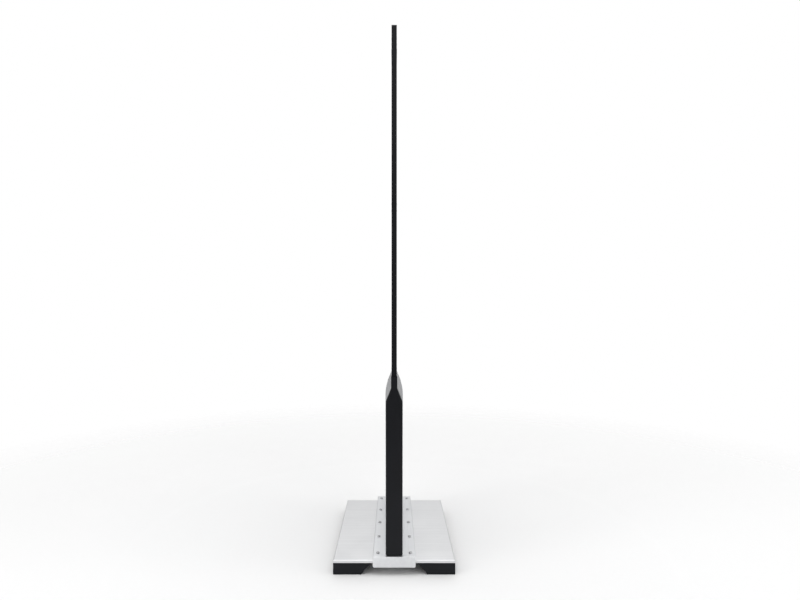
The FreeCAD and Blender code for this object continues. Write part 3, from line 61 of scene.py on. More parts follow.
class Look:
    """A procedural material being built: its Principled shader and the nodes that feed it."""

    def __init__(self, name, colour, roughness, metallic=0.0, specular=0.5):
        self.material = bpy.data.materials.new(name)
        self.material.use_nodes = True
        self.tree = self.material.node_tree
        self.shader = next(node for node in self.tree.nodes if node.type == "BSDF_PRINCIPLED")
        self.shader.inputs["Base Color"].default_value = (*colour, 1)
        self.shader.inputs["Roughness"].default_value = roughness
        self.shader.inputs["Metallic"].default_value = metallic
        self.shader.inputs["Specular IOR Level"].default_value = specular
        self.bump_chain = None

    def node(self, kind, **settings):
        """A new node with some of its settings changed."""
        made = self.tree.nodes.new(kind)
        for key, value in settings.items():
            setattr(made, key, value)
        return made

    def link(self, source, target):
        self.tree.links.new(source, target)

    def place(self, scale=(1, 1, 1)):
        """Places on the object, stretched along each axis."""
        where = self.node("ShaderNodeTexCoord")
        mapping = self.node("ShaderNodeMapping")
        mapping.inputs["Scale"].default_value = scale
        self.link(where.outputs["Object"], mapping.inputs["Vector"])
        return mapping.outputs["Vector"]

    def axes(self):
        """The separate X, Y and Z of places on the object."""
        parts = self.node("ShaderNodeSeparateXYZ")
        self.link(self.place(), parts.inputs["Vector"])
        return parts.outputs

    def noise(self, scale, stretch=(1, 1, 1), detail=4.0, rough=0.55):
        """Cloudy noise from 0 to 1; a larger scale makes it finer."""
        made = self.node("ShaderNodeTexNoise")
        made.inputs["Scale"].default_value = scale
        made.inputs["Detail"].default_value = detail
        made.inputs["Roughness"].default_value = rough
        self.link(self.place(stretch), made.inputs["Vector"])
        return made.outputs["Fac"]

    def cells(self, scale, stretch=(1, 1, 1), feature="F1"):
        """Distance inside a pattern of cells, to their middles or to their edges."""
        made = self.node("ShaderNodeTexVoronoi", feature=feature)
        made.inputs["Scale"].default_value = scale
        self.link(self.place(stretch), made.inputs["Vector"])
        return made.outputs["Distance"]

    def span(self, value, low, high, out_low, out_high):
        """A value moved from one range to another, held at its ends."""
        made = self.node("ShaderNodeMapRange")
        made.inputs["From Min"].default_value = low
        made.inputs["From Max"].default_value = high
        made.inputs["To Min"].default_value = out_low
        made.inputs["To Max"].default_value = out_high
        self.link(value, made.inputs["Value"])
        return made.outputs["Result"]

    def blend(self, value, first, second):
        """Colour between two, by a value from 0 to 1; either may be a colour or a socket."""
        made = self.node("ShaderNodeMix", data_type="RGBA")
        first_colour, second_colour, mixed = made.inputs[6], made.inputs[7], made.outputs[2]
        self.link(value, made.inputs["Factor"])
        for socket, colour in ((first_colour, first), (second_colour, second)):
            if isinstance(colour, (tuple, list)):
                socket.default_value = (*colour, 1)
            else:
                self.link(colour, socket)
        return mixed

    def tones(self, value, colour, dark, light, low=0.3, high=0.7):
        """A colour that drifts from a dark to a light tone of itself as a value rises from low to high."""
        return self.blend(self.span(value, low, high, 0.0, 1.0), tone(colour, dark), tone(colour, light))

    def maths(self, operation, first, second):
        """A sum on two values; each may be a number or a socket."""
        made = self.node("ShaderNodeMath", operation=operation)
        for socket, value in zip(made.inputs, (first, second)):
            if isinstance(value, (int, float)):
                socket.default_value = value
            else:
                self.link(value, socket)
        return made.outputs["Value"]

    def bump(self, height, distance, strength=1.0):
        """Adds a layer of bump, its full height given in metres."""
        made = self.node("ShaderNodeBump")
        made.inputs["Distance"].default_value = distance
        made.inputs["Strength"].default_value = strength
        self.link(height, made.inputs["Height"])
        if self.bump_chain is not None:
            self.link(self.bump_chain, made.inputs["Normal"])
        self.bump_chain = made.outputs["Normal"]
        self.link(self.bump_chain, self.shader.inputs["Normal"])

    def rough(self, value):
        self.link(value, self.shader.inputs["Roughness"])

    def paint(self, value):
        self.link(value, self.shader.inputs["Base Color"])


# ---- materials ----

def brushed_metal(name, colour, along, roughness=0.34, streak=1.0):
    """Satin metal brushed along one axis, with handling marks and faint cloudy staining."""
    look = Look(name, colour, roughness, metallic=1.0)
    fine = {"x": (6, 900, 900), "y": (900, 6, 900), "z": (900, 900, 6)}[along]
    broad = {"x": (1.5, 120, 120), "y": (120, 1.5, 120), "z": (120, 120, 1.5)}[along]
    scratch_stretch = (0.12, 1, 1) if along == "y" else (1, 0.12, 1)
    grain = look.noise(1.0, fine, detail=6.0, rough=0.7)
    bands = look.noise(1.0, broad, detail=3.0)
    cloud = look.noise(7.0, detail=5.0)
    shade = look.maths("ADD", look.span(grain, 0.25, 0.75, 0.0, 0.55),
                       look.span(bands, 0.3, 0.7, 0.0, 0.45))
    tint = look.blend(shade, tone(colour, 1 - 0.13 * streak), tone(colour, 1 + 0.06 * streak))
    look.paint(look.blend(look.span(cloud, 0.42, 0.75, 0.0, 0.35), tint, tone(colour, 0.86)))
    look.rough(look.maths("ADD", look.span(grain, 0.2, 0.8, roughness - 0.08, roughness + 0.08),
                          look.span(cloud, 0.35, 0.7, -0.03, 0.07)))
    look.bump(grain, 0.03 * MM, 0.55 * streak)
    scratch = look.cells(38, scratch_stretch, feature="DISTANCE_TO_EDGE")
    look.bump(look.span(scratch, 0.0, 0.008, 0.0, 1.0), 0.012 * MM, 0.35)
    return look.material


def moulded_black(name, colour, roughness, grain_size=1500, specular=0.3):
    """Black moulded plastic with a spark-eroded grain, slight sheen changes and pale dust in the hollows."""
    look = Look(name, colour, roughness, specular=specular)
    grain = look.cells(grain_size)
    patches = look.noise(14, detail=5.0)
    dust = look.noise(260, detail=3.0)
    mottled = look.tones(patches, colour, 0.8, 1.35)
    specks = look.maths("MULTIPLY", look.span(dust, 0.62, 0.8, 0.0, 1.0),
                        look.span(patches, 0.45, 0.7, 0.0, 0.5))
    look.paint(look.blend(specks, mottled, tone(colour, 4.0)))
    look.rough(look.maths("ADD", look.span(grain, 0.0, 0.7, roughness - 0.05, roughness + 0.08),
                          look.span(patches, 0.35, 0.7, -0.04, 0.06)))
    look.bump(grain, 0.05 * MM, 0.5)
    look.bump(look.noise(60, detail=2.0), 0.06 * MM, 0.25)
    return look.material


def powder_coat(name, colour, roughness, specular=0.35):
    """Powder coat: an orange-peel skin over metal with fine rub marks."""
    look = Look(name, colour, roughness, specular=specular)
    peel = look.noise(620, detail=2.0)
    rubs = look.noise(1.0, (220, 220, 9), detail=5.0, rough=0.65)
    patches = look.noise(9, detail=4.0)
    tint = look.tones(patches, colour, 0.85, 1.25)
    look.paint(look.blend(look.span(rubs, 0.66, 0.8, 0.0, 0.35), tint, tone(colour, 2.6)))
    look.rough(look.maths("ADD", look.span(peel, 0.2, 0.8, roughness - 0.06, roughness + 0.06),
                          look.span(rubs, 0.4, 0.75, 0.05, -0.07)))
    look.bump(peel, 0.06 * MM, 0.45)
    return look.material


def satin_cover(name, colour, roughness):
    """Silver anodised sheet with a fine vertical grain and soft finger marks."""
    look = Look(name, colour, roughness, metallic=1.0)
    grain = look.noise(1.0, (1100, 1100, 10), detail=5.0, rough=0.7)
    flake = look.cells(2600)
    marks = look.noise(11, detail=6.0)
    tint = look.tones(grain, colour, 0.9, 1.07, 0.25, 0.75)
    look.paint(look.blend(look.span(marks, 0.5, 0.78, 0.0, 0.3), tint, tone(colour, 0.84)))
    look.rough(look.maths("ADD", look.span(flake, 0.0, 0.6, roughness - 0.04, roughness + 0.05),
                          look.span(marks, 0.4, 0.7, -0.04, 0.08)))
    look.bump(grain, 0.02 * MM, 0.4)
    look.bump(flake, 0.01 * MM, 0.25)
    return look.material


def clear_acrylic(name):
    """Clear cast sheet, very slightly blue, with wiped-on dust and hairline scratches."""
    look = Look(name, (0.93, 0.965, 0.97), 0.03)
    look.shader.inputs["IOR"].default_value = 1.49
    look.shader.inputs["Transmission Weight"].default_value = 1.0
    wipes = look.noise(1.0, (30, 8, 30), detail=6.0, rough=0.7)
    hair = look.cells(46, (1, 1, 0.25), feature="DISTANCE_TO_EDGE")
    clean, dusty = (0.95, 0.975, 0.98), (0.86, 0.89, 0.9)
    look.rough(look.span(wipes, 0.45, 0.8, 0.015, 0.11))
    look.paint(look.blend(look.span(wipes, 0.5, 0.85, 0.0, 0.25), clean, dusty))
    look.bump(look.span(hair, 0.0, 0.006, 0.0, 1.0), 0.006 * MM, 0.2)
    return look.material


def rubber_like(name, colour, roughness=0.75):
    """Matt rubber or soft sleeve: fine pores and a pale bloom."""
    look = Look(name, colour, roughness, specular=0.25)
    pores = look.cells(900)
    bloom = look.noise(30, detail=4.0)
    look.paint(look.blend(look.span(bloom, 0.4, 0.75, 0.0, 0.6), colour, tone(colour, 2.2)))
    look.rough(look.span(bloom, 0.3, 0.7, roughness - 0.1, roughness + 0.1))
    look.bump(pores, 0.06 * MM, 0.5)
    return look.material


def plated_metal(name, colour, roughness=0.3):
    """Zinc, nickel or brass on small fixings: cloudy, with a very fine grain."""
    look = Look(name, colour, roughness, metallic=1.0)
    cloud = look.noise(420, detail=5.0)
    grain = look.noise(1.0, (1800, 1800, 1800), detail=3.0)
    look.paint(look.tones(cloud, colour, 0.75, 1.15, 0.35, 0.7))
    look.rough(look.span(cloud, 0.3, 0.7, roughness - 0.08, roughness + 0.14))
    look.bump(grain, 0.02 * MM, 0.4)
    return look.material


def plastic_part(name, colour, roughness=0.4):
    """Small moulded parts: fine texture and slight colour drift."""
    look = Look(name, colour, roughness, specular=0.45)
    drift = look.noise(45, detail=4.0)
    grain = look.cells(1800)
    look.paint(look.tones(drift, colour, 0.86, 1.12))
    look.rough(look.span(drift, 0.3, 0.7, roughness - 0.06, roughness + 0.1))
    look.bump(grain, 0.03 * MM, 0.4)
    return look.material


def frosted_lens(name, colour):
    """Frosted red diffuser with fine upright ribs."""
    look = Look(name, colour, 0.35)
    look.shader.inputs["Transmission Weight"].default_value = 0.55
    look.shader.inputs["IOR"].default_value = 1.5
    ribs = look.node("ShaderNodeTexWave", wave_type="BANDS", bands_direction="Y")
    ribs.inputs["Scale"].default_value = 110
    look.link(look.place(), ribs.inputs["Vector"])
    haze = look.noise(120, detail=4.0)
    look.paint(look.tones(haze, colour, 0.8, 1.15))
    look.rough(look.span(haze, 0.3, 0.7, 0.28, 0.45))
    look.bump(ribs.outputs["Fac"], 0.2 * MM, 0.6)
    return look.material


def circuit_board(name, face=None, parts=(0.016, 0.016, 0.018), can=None):
    """Green solder mask with straight copper tracks under it.

    What stands above the board's face has its own colour, and what lies inside the can's low and high
    corners along Y and Z is tinned.
    """
    mask_green, track_green = (0.010, 0.085, 0.036), (0.025, 0.17, 0.07)
    dull_tin, bright_tin = (0.55, 0.55, 0.54), (0.7, 0.7, 0.69)
    look = Look(name, mask_green, 0.35)
    upright = look.cells(150, (1, 1, 0.16), feature="DISTANCE_TO_EDGE")
    level = look.cells(150, (1, 0.16, 1), feature="DISTANCE_TO_EDGE")
    weave = look.noise(1.0, (10, 1400, 1400), detail=2.0)
    lines = look.maths("MAXIMUM", look.span(upright, 0.012, 0.03, 1.0, 0.0),
                       look.span(level, 0.012, 0.03, 1.0, 0.0))
    mask = look.blend(lines, look.blend(weave, tone(mask_green, 0.85), tone(mask_green, 1.1)), track_green)
    rough = look.span(weave, 0.3, 0.7, 0.28, 0.42)
    look.bump(lines, 0.04 * MM, 0.4)
    if face is None:
        look.paint(mask)
        look.rough(rough)
        return look.material
    axes = look.axes()
    above = look.span(axes["X"], face - 0.3 * MM, face - 0.1 * MM, 1.0, 0.0)
    drift = look.noise(160, detail=4.0)
    case = look.tones(drift, parts, 0.8, 1.3)
    if can is not None:
        inside = above
        for axis, low, high in (("Y", can[0][0], can[1][0]), ("Z", can[0][1], can[1][1])):
            half = (high - low) / 2
            apart = look.maths("ABSOLUTE", look.maths("SUBTRACT", axes[axis], (low + high) / 2), 0.0)
            inside = look.maths("MULTIPLY", inside, look.span(apart, half, half + 0.1 * MM, 1.0, 0.0))
        tin = look.blend(look.span(drift, 0.3, 0.7, 0.0, 1.0), dull_tin, bright_tin)
        case = look.blend(inside, case, tin)
        look.link(inside, look.shader.inputs["Metallic"])
    look.paint(look.blend(above, mask, case))
    look.rough(look.maths("ADD", rough, look.maths("MULTIPLY", above, 0.1)))
    return look.material


def cast_surface(name, colour):
    """Rough cast metal with patches of rust."""
    rust_brown = (0.12, 0.05, 0.025)
    look = Look(name, colour, 0.7, metallic=0.6)
    sand = look.noise(900, detail=4.0)
    rust = look.noise(25, detail=6.0)
    look.paint(look.blend(look.span(rust, 0.5, 0.75, 0.0, 0.8), colour, rust_brown))
    look.rough(look.span(sand, 0.2, 0.8, 0.55, 0.85))
    look.bump(sand, 0.2 * MM, 0.7)
    return look.material


# the look of each of the record's material slots
LOOKS = {
    "base_plate": brushed_metal("brushed_plate", (0.80, 0.805, 0.815), "x", roughness=0.38, streak=0.6),
    "spine_cover": brushed_metal("brushed_channel", (0.79, 0.80, 0.815), "y", roughness=0.36, streak=0.8),
    "foot": moulded_black("foot_moulding", (0.0058, 0.0066, 0.0090), 0.5, grain_size=1100, specular=0.22),
    "end_cap": moulded_black("cap_moulding", (0.0042, 0.0047, 0.0068), 0.42, grain_size=1700, specular=0.22),
    "frame": powder_coat("frame_coat", (0.0045, 0.0050, 0.0068), 0.36, specular=0.24),
    "side_cover": satin_cover("silver_cover", (0.76, 0.77, 0.785), 0.34),
    "clear_panel": clear_acrylic("acrylic_sheet"),
    "rubber": rubber_like("black_rubber", (0.012, 0.012, 0.012)),
    "ballast": cast_surface("cast_ballast", (0.10, 0.10, 0.10)),
    "zinc_fixing": plated_metal("zinc_plating", (0.62, 0.62, 0.60)),
    "spine_screw": plated_metal("dark_nickel", (0.58, 0.58, 0.59), roughness=0.4),
    "spreader": powder_coat("primer_coat", (0.03, 0.03, 0.033), 0.55),
    "copper": plated_metal("enamelled_copper", (0.72, 0.36, 0.2), roughness=0.25),
    "alarm_lens": frosted_lens("alarm_diffuser", (0.55, 0.035, 0.025)),
    "circuit_board": circuit_board("solder_mask"),
    "snap_plastic": plastic_part("natural_nylon", (0.66, 0.65, 0.6), roughness=0.5),
    "chassis": brushed_metal("galvanised_sheet", (0.58, 0.6, 0.61), "z", roughness=0.45, streak=1.3),
    "supply_case": brushed_metal("supply_sheet", (0.62, 0.62, 0.63), "z", roughness=0.42),
    "black_plastic": plastic_part("black_moulding", (0.02, 0.02, 0.021), roughness=0.45),
    "rocker": plastic_part("red_rocker", (0.5, 0.02, 0.02), roughness=0.25),
    "button": plastic_part("blue_button", (0.03, 0.16, 0.42), roughness=0.25),
    "brass": plated_metal("turned_brass", (0.68, 0.5, 0.22), roughness=0.28),
    "wire_jacket": rubber_like("wire_sleeve", (0.02, 0.02, 0.022), roughness=0.5),
}

# both boards' parts stand on the face that looks to -X
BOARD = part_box("transceiver_board")
BOARD_THICKNESS = 1.6 * MM
BOARD_FACE = BOARD[1][0] - BOARD_THICKNESS
SHIELD_CAN = in_mm(((-60, 302), (0, 352)))
NODE_LOOKS = {
    "transceiver_board": circuit_board("transceiver_mask", BOARD_FACE, can=SHIELD_CAN),
    "tuning_board": circuit_board("tuning_mask", BOARD_FACE, parts=(0.30, 0.10, 0.035)),
}


def finish_nodes():
    """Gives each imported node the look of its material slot, or its own where it has one."""
    for entry in frame["record"]["subparts"]:
        name = entry["node"]
        node = frame["nodes"][name]
        node.data.materials.clear()
        node.data.materials.append(NODE_LOOKS.get(name, LOOKS[entry["material_slot"]]))


# ---- mesh helpers ----

def soft_box(mesh, low, high, edge, steps=2):
    """Adds a box with rounded edges between two corners."""
    middle = [(a + b) / 2 for a, b in zip(low, high)]
    sides = [abs(b - a) for a, b in zip(low, high)]
    place = Matrix.Translation(middle) @ Matrix.Diagonal((*sides, 1))
    made = bmesh.ops.create_cube(mesh, size=1, matrix=place)
    edges = {item for vert in made["verts"] for item in vert.link_edges}
    bmesh.ops.bevel(mesh, geom=list(edges), offset=min(edge, min(sides) * 0.3), segments=steps,
                    affect="EDGES", profile=0.7)


def board_box(mesh, middle, half, heights, edge, steps=2):
    """Adds a box on the boards' face, in millimetres: its middle along and up, its half sizes, and the two
    heights above the face that it lies between."""
    (along, level), (half_along, half_up), (near, far) = middle, half, heights
    soft_box(mesh, (BOARD_FACE - far * MM, (along - half_along) * MM, (level - half_up) * MM),
             (BOARD_FACE - near * MM, (along + half_along) * MM, (level + half_up) * MM), edge * MM, steps)


def spokes(axis, count):
    """Unit directions at even turns round an axis."""
    side = axis.orthogonal().normalized()
    other = axis.cross(side)
    turns = [2 * math.pi * step / count for step in range(count)]
    return [side * math.cos(turn) + other * math.sin(turn) for turn in turns]


def turned(mesh, base, axis, profile, count):
    """Adds a turned form: a profile of (radius, height) points swept round an axis through the base point."""
    axis = Vector(axis)
    base = Vector(base)
    directions = spokes(axis, count)
    rings = []
    for radius, height in profile:
        rings.append([mesh.verts.new(base + axis * height + spoke * radius) for spoke in directions])
    for lower, upper in zip(rings, rings[1:]):
        for step in range(count):
            after = (step + 1) % count
            mesh.faces.new((lower[step], lower[after], upper[after], upper[step]))
    mesh.faces.new(rings[0][::-1])
    mesh.faces.new(rings[-1])


def join_sections(mesh, sections):
    """Joins closed sections of as many points each into one closed band."""
    count = len(sections[0])
    for section, ahead in zip(sections, sections[1:] + sections[:1]):
        for point in range(count):
            after = (point + 1) % count
            mesh.faces.new((section[point], ahead[point], ahead[after], section[after]))


def closed_ring(mesh, base, axis, profile, count):
    """Adds a ring: a closed profile of (radius, height) points swept round an axis."""
    axis = Vector(axis)
    base = Vector(base)
    join_sections(mesh, [[mesh.verts.new(base + axis * height + spoke * radius) for radius, height in profile]
                         for spoke in spokes(axis, count)])


def strip_loop(mesh, low, high, profile, face_x, side):
    """Adds a mitred strip inside an upright rectangle; its profile gives (inward, outward) steps."""
    sections = []
    for along, level, turn_y, turn_z in ((low[0], low[1], 1, 1), (high[0], low[1], -1, 1),
                                         (high[0], high[1], -1, -1), (low[0], high[1], 1, -1)):
        sections.append([mesh.verts.new((face_x + side * outward, along + turn_y * inward,
                                         level + turn_z * inward)) for inward, outward in profile])
    join_sections(mesh, sections)


def piece(name, mesh, slot, look=None, body="stand"):
    """Makes an object of a mesh being built, with its slot's look unless it has its own, and rides it."""
    bmesh.ops.recalc_face_normals(mesh, faces=mesh.faces)
    data = bpy.data.meshes.new(name)
    mesh.to_mesh(data)
    mesh.free()
    for face in data.polygons:
        face.use_smooth = True
    data.materials.append(look or LOOKS[slot])
    made = bpy.data.objects.new(name, data)
    bpy.context.scene.collection.objects.link(made)
    split = made.modifiers.new("edges", "EDGE_SPLIT")
    split.split_angle = math.radians(40)
    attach(made, body)


def quarter_bead(width, height, steps=5):
    """Section of a glazing bead: flat back, rounded front corner."""
    points = [(0, 0), (0, height)]
    for step in range(steps + 1):
        turn = math.pi / 2 * step / steps
        points.append((width * (0.45 + 0.55 * math.sin(turn)), height * (0.35 + 0.65 * math.cos(turn))))
    points.append((width, 0))
    return points


# ---- frame details ----

def make_glazing_beads():
    """Black rubber beads that close the frame's grooves against both faces of each panel."""
    bead_width, bead_height, gap = 4 * MM, 3.2 * MM, 0.03 * MM
    stile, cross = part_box("front_stile"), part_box("cross_rail")
    inner = -stile[1][1]
    stile_depth = stile[1][1] - stile[0][1]
    openings = {
        "lower": ((-inner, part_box("lower_rail")[1][2]), (inner, cross[0][2])),
        "upper": ((-inner, cross[1][2]), (inner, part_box("top_rail")[1][2] - stile_depth)),
    }
    for name, (low, high) in openings.items():
        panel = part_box(name + "_panel")
        for side, label, face in ((-1, "left", panel[0][0]), (1, "right", panel[1][0])):
            mesh = bmesh.new()
            strip_loop(mesh, low, high, quarter_bead(bead_width, bead_height), face + side * gap, side)
            piece("glazing_bead_%s_%s" % (name, label), mesh, "rubber")


def make_lens_bezels():
    """Thin black surround on each side of the alarm light."""
    rim = 2.2 * MM
    section = in_mm(((0, 0), (0, 0.7), (0.5, 1.2), (1.6, 1.2), (2.0, 0.8), (2.0, 0)))
    rail_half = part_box("top_rail")[1][0]
    for side, label in ((-1, "left"), (1, "right")):
        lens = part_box("alarm_lens_" + label)
        low = (lens[0][1] - rim, lens[0][2] - rim)
        high = (lens[1][1] + rim, lens[1][2] + rim)
        mesh = bmesh.new()
        strip_loop(mesh, low, high, section, side * rail_half, side)
        piece("lens_bezel_" + label, mesh, "end_cap")


def make_joint_screws():
    """Countersunk screws that hold the frame's joints, on both faces."""
    head = in_mm(((3.1, 0), (3.1, 0.25), (2.6, 0.55), (1.5, 0.62), (1.35, 0.15)))
    top_step, cross_step, rail_step, sunk = 9 * MM, 12 * MM, 6 * MM, 0.2 * MM
    stile, rail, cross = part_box("front_stile"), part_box("lower_rail"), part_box("cross_rail")
    face = stile[1][0]
    along = (abs(stile[0][1]) + abs(stile[1][1])) / 2
    joint = stile[1][2]
    levels = (joint - top_step, joint + top_step, cross[0][2] + cross_step, cross[1][2] - cross_step,
              (rail[0][2] + rail[1][2]) / 2 + rail_step)
    mesh = bmesh.new()
    for side in (-1, 1):
        for end in (-1, 1):
            for level in levels:
                turned(mesh, (side * (face - sunk), end * along, level), (side, 0, 0), head, 20)
    piece("joint_screws", mesh, "spine_screw")


# ---- details inside the housing, their places in millimetres along the gate and above the floor ----

CHIP_PLACES = ((-40, 452), (-18, 452), (45, 440), (62, 440), (-30, 366), (76, 430))
PROCESSOR_PLACE = (35, 390)
CAPACITOR_PLACES = ((80, 320), (80, 340), (95, 320), (95, 340))
CONNECTOR_PLACES = ((-20, 473), (52, 473), (84, 473))
# spans along and up that the board's bigger parts take, with some room round them
BIG_PARTS = ((-60, 0, 300, 354), (18, 62, 306, 344), (-47, -3, 376, 434), (13, 57, 366, 414),
             (68, 97, 356, 404), (8, 32, 436, 469), (72, 103, 312, 348))
SMALL_PART_HALVES = ((1.6, 0.8), (0.8, 1.6), (2.4, 1.2), (1.2, 2.4))

# looks of their own for pieces whose slot has another colour
CERAMIC = plastic_part("ceramic_parts", (0.55, 0.52, 0.45), roughness=0.5)
SLEEVE = plastic_part("capacitor_sleeve", (0.02, 0.03, 0.09), roughness=0.3)


def make_chips_and_pins():
    """Small chips with two rows of pins each, and the pins of the processor that the CAD has."""
    chips, pins = bmesh.new(), bmesh.new()
    pin_heights, pin_edge = (0.02, 0.7), 0.1
    for along, level in CHIP_PLACES:
        board_box(chips, (along, level), (5, 3.5), (0.2, 2), 0.3)
        for step in range(7):
            for end in (-1, 1):
                board_box(pins, (along - 3.9 + step * 1.3, level + end * 4.4), (0.2, 0.9), pin_heights,
                          pin_edge, 1)
    along, level = PROCESSOR_PLACE
    for step in range(12):
        for end in (-1, 1):
            board_box(pins, (along + (step - 5.5) * 2.8, level + end * 20.8), (0.4, 1.2), (0.02, 0.8),
                      pin_edge, 1)
    return chips, pins


def make_small_parts():
    """Resistors and small capacitors, dropped at random where the board is free."""
    most, tries, board_edge, room = 90, 600, 6, 3
    draw = random.Random(7)
    small = bmesh.new()
    taken = list(BIG_PARTS)
    taken += [(along - 8, along + 8, level - 7, level + 7) for along, level in CHIP_PLACES]
    placed = 0
    for _ in range(tries):
        along = draw.uniform(BOARD[0][1] / MM + board_edge, BOARD[1][1] / MM - board_edge)
        level = draw.uniform(BOARD[0][2] / MM + board_edge, BOARD[1][2] / MM - board_edge)
        clear = all(not (near - room < along < far + room and low - room < level < high + room)
                    for near, far, low, high in taken)
        if not clear or placed >= most:
            continue
        board_box(small, (along, level), draw.choice(SMALL_PART_HALVES), (0.02, 0.7), 0.15, 1)
        taken.append((along - 2, along + 2, level - 2, level + 2))
        placed += 1
    return small


def make_capacitors():
    """Sleeves of the four big capacitors, each with its neck groove and rolled top."""
    sleeve = in_mm(((5.25, 0), (5.25, 12.4), (4.9, 13.0), (5.25, 13.6), (4.9, 14.4), (4.2, 14.5),
                    (4.0, 14.25)))
    caps = bmesh.new()
    for along, level in CAPACITOR_PLACES:
        turned(caps, (BOARD_FACE - 0.1 * MM, along * MM, level * MM), (-1, 0, 0), sleeve, 28)
    return caps


def make_heat_sink():
    """Upright fins on the board's tallest case, which ends 2 mm below the tops of the capacitors."""
    first, pitch, fin, fin_low, fin_high = -40, 3.75, 1.6, 382, 428
    fin_root = BOARD[0][0] + 2 * MM
    fin_tip = BOARD[0][0] - 1.9 * MM
    sink = bmesh.new()
    for step in range(9):
        along = (first + step * pitch) * MM
        soft_box(sink, (fin_tip, along, fin_low * MM), (fin_root, along + fin * MM, fin_high * MM), 0.3 * MM)
    return sink


def make_connectors():
    """Three plug housings along the board's upper edge, with four raised contacts each."""
    connectors = bmesh.new()
    for along, level in CONNECTOR_PLACES:
        board_box(connectors, (along, level), (9, 4), (0.05, 8.5), 0.5)
        for step in range(4):
            board_box(connectors, (along - 6 + step * 4, level), (1.1, 2.4), (8.3, 9), 0.2, 1)
    return connectors


def make_board_parts():
    """Everything that is added to the transceiver board."""
    chips, pins = make_chips_and_pins()
    piece("board_chips", chips, "black_plastic")
    piece("board_pins", pins, "zinc_fixing")
    piece("board_small_parts", make_small_parts(), "snap_plastic", CERAMIC)
    piece("board_capacitors", make_capacitors(), "black_plastic", SLEEVE)
    piece("board_heat_sink", make_heat_sink(), "supply_case")
    piece("board_connectors", make_connectors(), "snap_plastic", CERAMIC)


def make_supply_parts():
    """Cover screws, and a terminal strip with its contacts, on the power supply."""
    screw_head = in_mm(((2.9, 0), (2.9, 0.7), (2.3, 1.5), (1.2, 1.8), (1.1, 1.0)))
    contact_head = in_mm(((3.1, 0), (3.1, 0.8), (2.5, 1.3), (0.9, 1.35), (0.8, 0.7)))
    screw_inset, screw_level = 8 * MM, 10 * MM
    strip_half, strip_level, strip_height, pitch = 36 * MM, 22 * MM, 14 * MM, 10.25 * MM
    wall_half, wall_past, first_contact = 0.7 * MM, 0.5 * MM, 30.9 * MM
    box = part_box("power_supply")
    face = box[0][0]
    screws = bmesh.new()
    for along in (box[0][1] + screw_inset, box[1][1] - screw_inset):
        for level in (box[0][2] + screw_level, box[1][2] - screw_inset):
            turned(screws, (face + 0.05 * MM, along, level), (-1, 0, 0), screw_head, 20)
    piece("supply_screws", screws, "zinc_fixing")
    strip = bmesh.new()
    low = box[0][2] + strip_level
    middle = (box[0][1] + box[1][1]) / 2
    soft_box(strip, (face - 3 * MM, middle - strip_half, low),
             (face + 0.5 * MM, middle + strip_half, low + strip_height), 0.6 * MM)
    for step in range(8):
        along = middle - strip_half + step * pitch
        soft_box(strip, (face - 5 * MM, along - wall_half, low - wall_past),
                 (face - 2.8 * MM, along + wall_half, low + strip_height + wall_past), 0.3 * MM)
    piece("supply_terminals", strip, "black_plastic")
    contacts = bmesh.new()
    for step in range(7):
        along = middle - first_contact + step * pitch
        turned(contacts, (face - 2.9 * MM, along, low + strip_height / 2), (-1, 0, 0), contact_head, 20)
    piece("supply_contacts", contacts, "brass")


def make_terminal_screws():
    """Brass screws in the wells of the mains terminal block."""
    head = in_mm(((2.7, 0), (2.7, 3.5), (2.3, 4.2), (0.7, 4.3), (0.6, 3.4)))
    pitch, well_floor = 13 * MM, 6.9 * MM
    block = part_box("terminal_block")
    middle = (block[0][1] + block[1][1]) / 2
    level = (block[0][2] + block[1][2]) / 2
    mesh = bmesh.new()
    for step in (-1, 0, 1):
        turned(mesh, (block[0][0] + well_floor, middle + step * pitch, level), (-1, 0, 0), head, 20)
    piece("terminal_screws", mesh, "brass")


def make_sounder_rings():
    """Two raised rings round the sounder's mouth."""
    foot, shoulder, top, slope = -0.4, 0.7, 1.0, 0.4
    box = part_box("sounder")
    centre = (box[1][0], (box[0][1] + box[1][1]) / 2, (box[0][2] + box[1][2]) / 2)
    mesh = bmesh.new()
    for outer, inner in ((17, 15.6), (11, 9.8)):
        profile = in_mm(((inner, foot), (inner, shoulder), (inner + slope, top), (outer - slope, top),
                         (outer, shoulder), (outer, foot)))
        closed_ring(mesh, centre, (1, 0, 0), profile, 40)
    piece("sounder_rings", mesh, "black_plastic")


# ---- stage, light and camera ----

FLOOR_RADIUS = 9
FADE_START = 0.9
FADE_END = 2.6

# each softbox: its name, place, target, width and height, and power in watts
SOFTBOXES = (
    ("overhead", (0, -0.7, 3.6), (0, -0.1, 0.4), (2.6, 2.6), 36),
    ("left_key", (-2.8, -1.4, 2.0), (0, 0, 0.7), (1.0, 2.2), 16),
    ("right_fill", (2.8, -0.6, 1.8), (0, 0, 0.7), (1.0, 2.2), 12),
    ("rear_fill", (0.4, 3.4, 2.6), (0, 0, 0.7), (2.6, 1.2), 8),
)

HORIZON_STRENGTH = 0.42
CEILING_STRENGTH = 1.0
CLIMB_START = 0.05
CLIMB_END = 0.55

CAMERA_HEIGHT = 0.800
CAMERA_DISTANCE = 1.8235
FOCAL_LENGTH = 23.445
SENSOR_WIDTH = 36
SHIFT_RIGHT = 0.0073
SHIFT_UP = 0.0125


